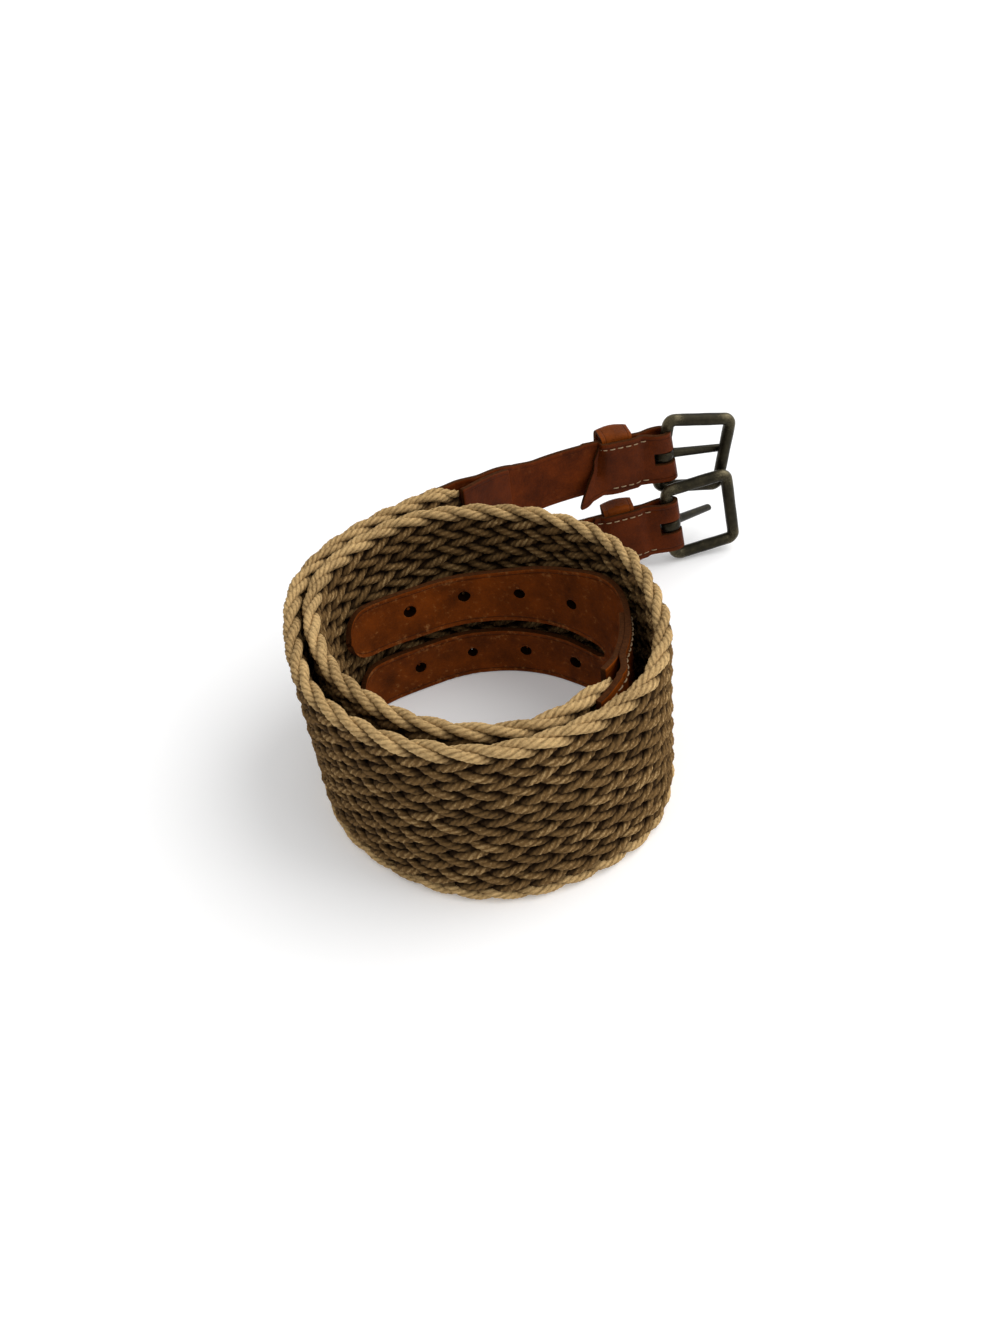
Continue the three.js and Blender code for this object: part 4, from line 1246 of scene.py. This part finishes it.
class BELT_OT_keepers(bpy.types.Operator):
    """Loops a keeper round each buckle strap"""

    bl_idname = "belt.keepers"
    bl_label = "Keepers"

    def execute(self, context):
        sizes = context.scene.belt_keeper
        base = tuple(context.scene.belt_colours.tip_leather)
        skin = leather_material("keeper_leather", shade_of(base, 0.95), shade_of(base, 0.4),
                                rough=0.42, crease=0.6)
        rim = edge_material()
        thick, wide = sizes.leather / MM, sizes.width / MM
        high = BUCKLE_STRAP_WIDTH / 2 + GAP + thick / 2
        inner = -SINGLE_FACE - GAP - thick / 2
        outer = SINGLE_FACE + sizes.depth / MM + thick / 2
        for end in buckle_ends():
            path = self.outline(inner, outer, high)
            sections = strap_columns(KEEPER_MARGINS, parts=4)
            vertices, faces, edges = [], [], []
            size = len(sections)
            for o, v in path:
                for section in sections:
                    u, rim_by = across_strap(section, -wide / 2, wide / 2)
                    bulge = 1 - (2 * u / wide) ** 2
                    out = o + (KEEPER_BULGE * bulge if o > 0 else 0.0)
                    up = v * (1 + KEEPER_SPREAD * bulge)
                    vertices.append(world(end.bar.at(-KEEPER_TO_BAR + u, out, up)))
                    edges.append(rim_by)
            count = len(path)
            for i in range(count):
                here, there = i * size, ((i + 1) % count) * size
                for j in range(size - 1):
                    faces.append((here + j, there + j, there + j + 1, here + j + 1))
            piece = make_object(f"{end.name}_keeper_loop", vertices, faces, "belt", [skin, skin, rim],
                                [f"{end.name}_keeper"])
            add_attribute(piece.data, "edge", edges)
            thicken(piece, thick, KEEPER_BEVEL, segments=3)
        return {"FINISHED"}

    @staticmethod
    def outline(inner, outer, high):
        """Points round the loop, (outward, up): tight inner corners and round outer ones, joined by straight
        sides that the caller bulges.
        """
        points = []
        tight, wide = KEEPER_INNER_CORNER, KEEPER_OUTER_CORNER
        shoulder = high - wide * 0.8
        corners = ((inner + tight, tight - high, tight, 270, 180),
                   (inner + tight, high - tight, tight, 180, 90),
                   (outer - wide, shoulder, wide, 90, 0),
                   (outer - wide, -shoulder, wide, 0, -90))
        for (o, v, r, start, end), (next_o, next_v, next_r, next_start, _) in zip(
                corners, corners[1:] + corners[:1]):
            for degrees in spread(start, end, 6):
                a = math.radians(degrees)
                points.append((o + r * math.cos(a), v + r * math.sin(a)))
            last = points[-1]
            a = math.radians(next_start)
            first = (next_o + next_r * math.cos(a), next_v + next_r * math.sin(a))
            for t in spread(0, 1, 5)[1:-1]:
                points.append((mix(last[0], first[0], t), mix(last[1], first[1], t)))
        return points


# Buckles

BAR_SIDES = 24
CORNER_STEPS = 10
SIDE_STEPS = 14


class BELT_OT_buckle_frames(bpy.types.Operator):
    """Bends each rectangular frame from round aged brass bar"""

    bl_idname = "belt.buckle_frames"
    bl_label = "Buckle Frames"

    def execute(self, context):
        sizes = context.scene.belt_buckle
        metal = brass_material()
        bar = sizes.bar / MM
        path = self.outline(sizes.length / MM, sizes.height / MM / 2, sizes.corner / MM)
        for end in buckle_ends():
            vertices, wear = [], []
            for k, (x, z, ax, az, corner) in enumerate(path):
                for j in range(BAR_SIDES):
                    a = 2 * math.pi * j / BAR_SIDES
                    r = bar * (1 + 0.012 * math.sin(k * 0.9 + 2 * a) + 0.008 * math.sin(k * 0.37 + j))
                    out = r * math.cos(a)
                    vertices.append(world(end.frame.at(x + ax * out, r * math.sin(a), z + az * out)))
                    wear.append(corner * (0.35 + 0.65 * max(0.0, math.cos(a))) + 0.12)
            faces = tube_faces(len(path), BAR_SIDES, closed=True)
            piece = make_object(f"{end.name}_frame_bar", vertices, faces, f"{end.name}_frame", metal,
                                [f"{end.name}_buckle_frame"])
            add_attribute(piece.data, "wear", wear)
        return {"FINISHED"}

    @staticmethod
    def outline(long, half, bend):
        """The bar's middle round the frame: spot, outward direction, and how near a corner it lies."""
        path = []
        corners = ((long - bend, half - bend, 0), (bend, half - bend, 90),
                   (bend, bend - half, 180), (long - bend, bend - half, 270))
        for i, (x, z, start) in enumerate(corners):
            for degrees in spread(start, start + 90, CORNER_STEPS):
                a = math.radians(degrees)
                ax, az = math.cos(a), math.sin(a)
                path.append((x + bend * ax, z + bend * az, ax, az, 1.0))
            next_x, next_z, next_start = corners[(i + 1) % len(corners)]
            a = math.radians(next_start)
            goal = (next_x + bend * math.cos(a), next_z + bend * math.sin(a))
            last = path[-1]
            for t in spread(0, 1, SIDE_STEPS)[1:-1]:
                near_corner = max(0.0, 1 - 5 * min(t, 1 - t))
                path.append((mix(last[0], goal[0], t), mix(last[1], goal[1], t), last[2], last[3],
                             near_corner))
        return path


PRONG_LOOP_HALF = 2.3
PRONG_LOOP_STEPS = 36
PRONG_SIDES = 16
PRONG_WEAR = 0.2


class BELT_OT_prongs(bpy.types.Operator):
    """Loops a tapered prong round each frame's hinge bar"""

    bl_idname = "belt.prongs"
    bl_label = "Prongs"

    def execute(self, context):
        sizes = context.scene.belt_buckle
        metal = brass_material()
        for end in buckle_ends():
            inner = sizes.bar / MM + BAR_CLEARANCE
            outer = inner + STRAP_LEATHER - GAP
            profile = [(mix(inner, outer, 0.5 - 0.5 * math.cos(t)), PRONG_LOOP_HALF * math.sin(t))
                       for t in spread(0, 2 * math.pi, PRONG_SIDES)[:-1]]
            vertices = []
            for i in range(PRONG_LOOP_STEPS):
                a = 2 * math.pi * i / PRONG_LOOP_STEPS
                for r, v in profile:
                    vertices.append(world(end.prong.at(r * math.cos(a), r * math.sin(a), v)))
            faces = tube_faces(PRONG_LOOP_STEPS, len(profile), closed=True)
            base = len(vertices)
            reach = (sizes.length + sizes.bar * 0.4) / MM + PRONG_OVERHANG
            drop = math.tan(math.radians(end.droop))
            radius = sizes.prong / MM
            stations = [(inner + 0.5, 1.25), (inner + 2.0, 1.12), (inner + 4.0, 1.04)]
            stations += [(x, mix(1.02, 0.86, i / 8)) for i, x in enumerate(spread(9.0, reach - 2.2, 8))]
            stations += [(reach - 1.3 + 1.3 * math.sin(t), 0.84 * math.cos(t) + 0.02)
                         for t in spread(0.15, math.pi / 2, 6)]
            for x, girth in stations:
                for j in range(PRONG_SIDES):
                    a = 2 * math.pi * j / PRONG_SIDES
                    vertices.append(world(end.prong.at(
                        x, radius * girth * math.cos(a),
                        radius * girth * math.sin(a) - drop * (x - inner))))
            faces += tube_faces(len(stations), PRONG_SIDES, base=base)
            piece = make_object(f"{end.name}_prong_pin", vertices, faces, f"{end.name}_prong", metal,
                                [f"{end.name}_prong"])
            add_attribute(piece.data, "wear", [PRONG_WEAR] * len(vertices))
        return {"FINISHED"}


# Stitches


THREAD_RADIUS = 0.28
THREAD_SIDES = 8
STITCH_RINGS = (  # part, lift, girth
    (0.0, -0.35, 0.6), (0.12, 0.15, 0.95), (0.5, 0.42, 1.0), (0.88, 0.15, 0.95), (1.0, -0.35, 0.6),
)
STITCH_PITCH = 1.4
TAB_SEAM_INSET = 2.6
TIP_SEAM_INSET = 2.8
TAB_STITCH_END = -6.0


def stitch_vertices(a, b, normal):
    """One stitch: a short thread that dips into the leather at both ends."""
    run = b - a
    side = run.normalized().cross(normal).normalized()
    vertices = []
    for t, lift, girth in STITCH_RINGS:
        centre = a + run * t + normal * lift * THREAD_RADIUS * 2
        for x in spread(0, 2 * math.pi, THREAD_SIDES)[:-1]:
            ring = side * math.cos(x) + normal * math.sin(x)
            vertices.append(world(centre + ring * THREAD_RADIUS * girth))
    return vertices


def sew(spot, first, last, length, normal, vertices, faces):
    """A row of stitches along a line that spot gives by the distance run."""
    at = first
    while at + length < last:
        faces.extend(tube_faces(len(STITCH_RINGS), THREAD_SIDES, base=len(vertices)))
        vertices.extend(stitch_vertices(spot(at), spot(at + length), normal))
        at += length * STITCH_PITCH


def tab_seam(end, v):
    """The line of a seam on a tab's face, at a height from the strap's middle."""
    return lambda u: end.bar.at(u, end.tab_offset(u) - SINGLE_FACE, v)


def tip_seam(share):
    """The line of a seam on the tip leather's outer face, along its bottom (0) or top (1) edge."""
    def spot(past):
        low, _, _, high = tip_edges(past)
        height = mix(low, high, share) + mix(TIP_SEAM_INSET, -TIP_SEAM_INSET, share)
        return TIP.place(past).at(0, main_offset(past) + LEATHER / 2, height)

    return spot


class BELT_OT_stitches(bpy.types.Operator):
    """Sews the tabs down and the two leather layers together"""

    bl_idname = "belt.stitches"
    bl_label = "Stitches"

    def execute(self, context):
        length = context.scene.belt_keeper.stitch / MM
        thread = thread_material()
        seam = BUCKLE_STRAP_WIDTH / 2 - TAB_SEAM_INSET
        for end in buckle_ends():
            vertices, faces = [], []
            tab_end = end.tab_rows[-1][0]
            for v in (-seam, seam):
                first = tab_end + (3.0 if v > 0 or end.name == "lower" else 8.0)
                sew(tab_seam(end, v), first, TAB_STITCH_END, length, -end.bar.outward, vertices, faces)
            make_object(f"{end.name}_tab_stitches", vertices, faces, "belt", thread)
        vertices, faces = [], []
        start = 2.0 - LAP
        for share in (0, 1):
            sew(tip_seam(share), start, TIP_FACING_LENGTH, length, TIP.place(LAP).outward,
                vertices, faces)
        side = TIP.place(start)
        sew(lambda height: side.at(0, main_offset(start) + LEATHER / 2, height),
            6.0, BAND_WIDTH - 8.0, length, side.outward, vertices, faces)
        make_object("tip_stitches", vertices, faces, "belt", thread)
        return {"FINISHED"}


# Stage

CAMERA_SPOT = Vector((7.7, -316.9, 312.0))
CAMERA_DOWN = math.radians(40)
CAMERA_ROLL = math.radians(-8)
CAMERA_LENS = 29.7
CAMERA_SENSOR = 36.0
FLOOR_HALF = 4.0
FLOOR_DROP = 0.0002
FLOOR_SHADE = (0.9, 0.9, 0.9, 1.0)
FLOOR_GLOW = 0.14
WHITE = (1.0, 1.0, 1.0, 1.0)
SKY_STRENGTH = 0.7
LIGHTS = (  # name, kind, place in metres, size, power
    ("key_light", "SUN", (0.95, 0.12, 1.0), math.radians(55), 1.75),
    ("front_light", "AREA", (0.75, -0.6, 0.6), 0.6, 2.5),
)
LIGHT_AIM = Vector((0, 0, 0.03))


class BELT_OT_stage(bpy.types.Operator):
    """Sets the pale floor, the soft lights and the camera"""

    bl_idname = "belt.stage"
    bl_label = "Stage"

    def execute(self, context):
        scene = context.scene
        self.camera(scene)
        self.floor()
        self.lights(scene)
        scene.view_settings.view_transform = "Standard"
        scene.view_settings.look = "None"
        return {"FINISHED"}

    def camera(self, scene):
        data = bpy.data.cameras.new("camera")
        data.sensor_fit = "VERTICAL"
        data.sensor_height = CAMERA_SENSOR
        data.lens = CAMERA_LENS
        data.clip_start = 0.01
        camera = bpy.data.objects.new("camera", data)
        scene.collection.objects.link(camera)
        right = Vector((1, 0, 0))
        ahead = Vector((0, math.cos(CAMERA_DOWN), -math.sin(CAMERA_DOWN)))
        up = right.cross(ahead)
        right_rolled = right * math.cos(CAMERA_ROLL) + up * math.sin(CAMERA_ROLL)
        up_rolled = -right * math.sin(CAMERA_ROLL) + up * math.cos(CAMERA_ROLL)
        basis = Matrix((right_rolled, up_rolled, -ahead)).transposed().to_4x4()
        camera.matrix_world = Matrix.Translation(world(CAMERA_SPOT)) @ basis
        scene.camera = camera

    def floor(self):
        mesh = bpy.data.meshes.new("floor")
        corners = [(x * FLOOR_HALF, y * FLOOR_HALF, 0) for x, y in ((-1, -1), (1, -1), (1, 1), (-1, 1))]
        mesh.from_pydata(corners, [], [(0, 1, 2, 3)])
        s = Shader("pale_floor")
        s.surface.inputs["Emission Color"].default_value = WHITE
        mesh.materials.append(s.finish(FLOOR_SHADE, 0.9, Specular_IOR_Level=0.1,
                                       Emission_Strength=FLOOR_GLOW))
        floor = bpy.data.objects.new("floor", mesh)
        floor.location.z = -FLOOR_DROP
        bpy.context.scene.collection.objects.link(floor)

    def lights(self, scene):
        sky = bpy.data.worlds.new("studio")
        sky.use_nodes = True
        back = sky.node_tree.nodes["Background"]
        back.inputs["Color"].default_value = WHITE
        back.inputs["Strength"].default_value = SKY_STRENGTH
        scene.world = sky
        for name, kind, place, size, power in LIGHTS:
            data = bpy.data.lights.new(name, kind)
            data.energy = power
            if kind == "SUN":
                data.angle = size
            else:
                data.size = size
            light = bpy.data.objects.new(name, data)
            scene.collection.objects.link(light)
            light.location = place
            aim = LIGHT_AIM - light.location
            light.rotation_euler = aim.to_track_quat("-Z", "Y").to_euler()


class BELT_PT_panel(bpy.types.Panel):
    """Lists the belt's pieces and sizes"""

    bl_idname = "BELT_PT_panel"
    bl_label = "Braided Belt"
    bl_space_type = "VIEW_3D"
    bl_region_type = "UI"
    bl_category = "Belt"

    def draw(self, context):
        layout = self.layout
        for title, group in (("Braid", context.scene.belt_braid), ("Buckles", context.scene.belt_buckle),
                             ("Keepers", context.scene.belt_keeper), ("Colours", context.scene.belt_colours)):
            box = layout.box()
            box.label(text=title)
            for name in group.__annotations__:
                box.prop(group, name)
        for operator in PIECES:
            layout.operator(operator.bl_idname)


PIECES = (BELT_OT_stage, BELT_OT_braid_cords, BELT_OT_tip_leather, BELT_OT_buckle_leather,
          BELT_OT_keepers, BELT_OT_buckle_frames, BELT_OT_prongs, BELT_OT_stitches)
GROUPS = (("belt_braid", BeltBraidSizes), ("belt_buckle", BeltBuckleSizes),
          ("belt_keeper", BeltKeeperSizes), ("belt_colours", BeltColours))


def register():
    for _, group in GROUPS:
        bpy.utils.register_class(group)
    for cls in (*PIECES, BELT_PT_panel):
        bpy.utils.register_class(cls)
    for name, group in GROUPS:
        setattr(bpy.types.Scene, name, PointerProperty(type=group))


def unregister():
    for name, _ in GROUPS:
        delattr(bpy.types.Scene, name)
    for cls in (BELT_PT_panel, *reversed(PIECES)):
        bpy.utils.unregister_class(cls)
    for _, group in reversed(GROUPS):
        bpy.utils.unregister_class(group)


def main():
    register()
    bpy.ops.belt.stage()
    bpy.ops.belt.braid_cords()
    bpy.ops.belt.tip_leather()
    bpy.ops.belt.buckle_leather()
    bpy.ops.belt.keepers()
    bpy.ops.belt.buckle_frames()
    bpy.ops.belt.prongs()
    bpy.ops.belt.stitches()


if __name__ == "__main__":
    main()
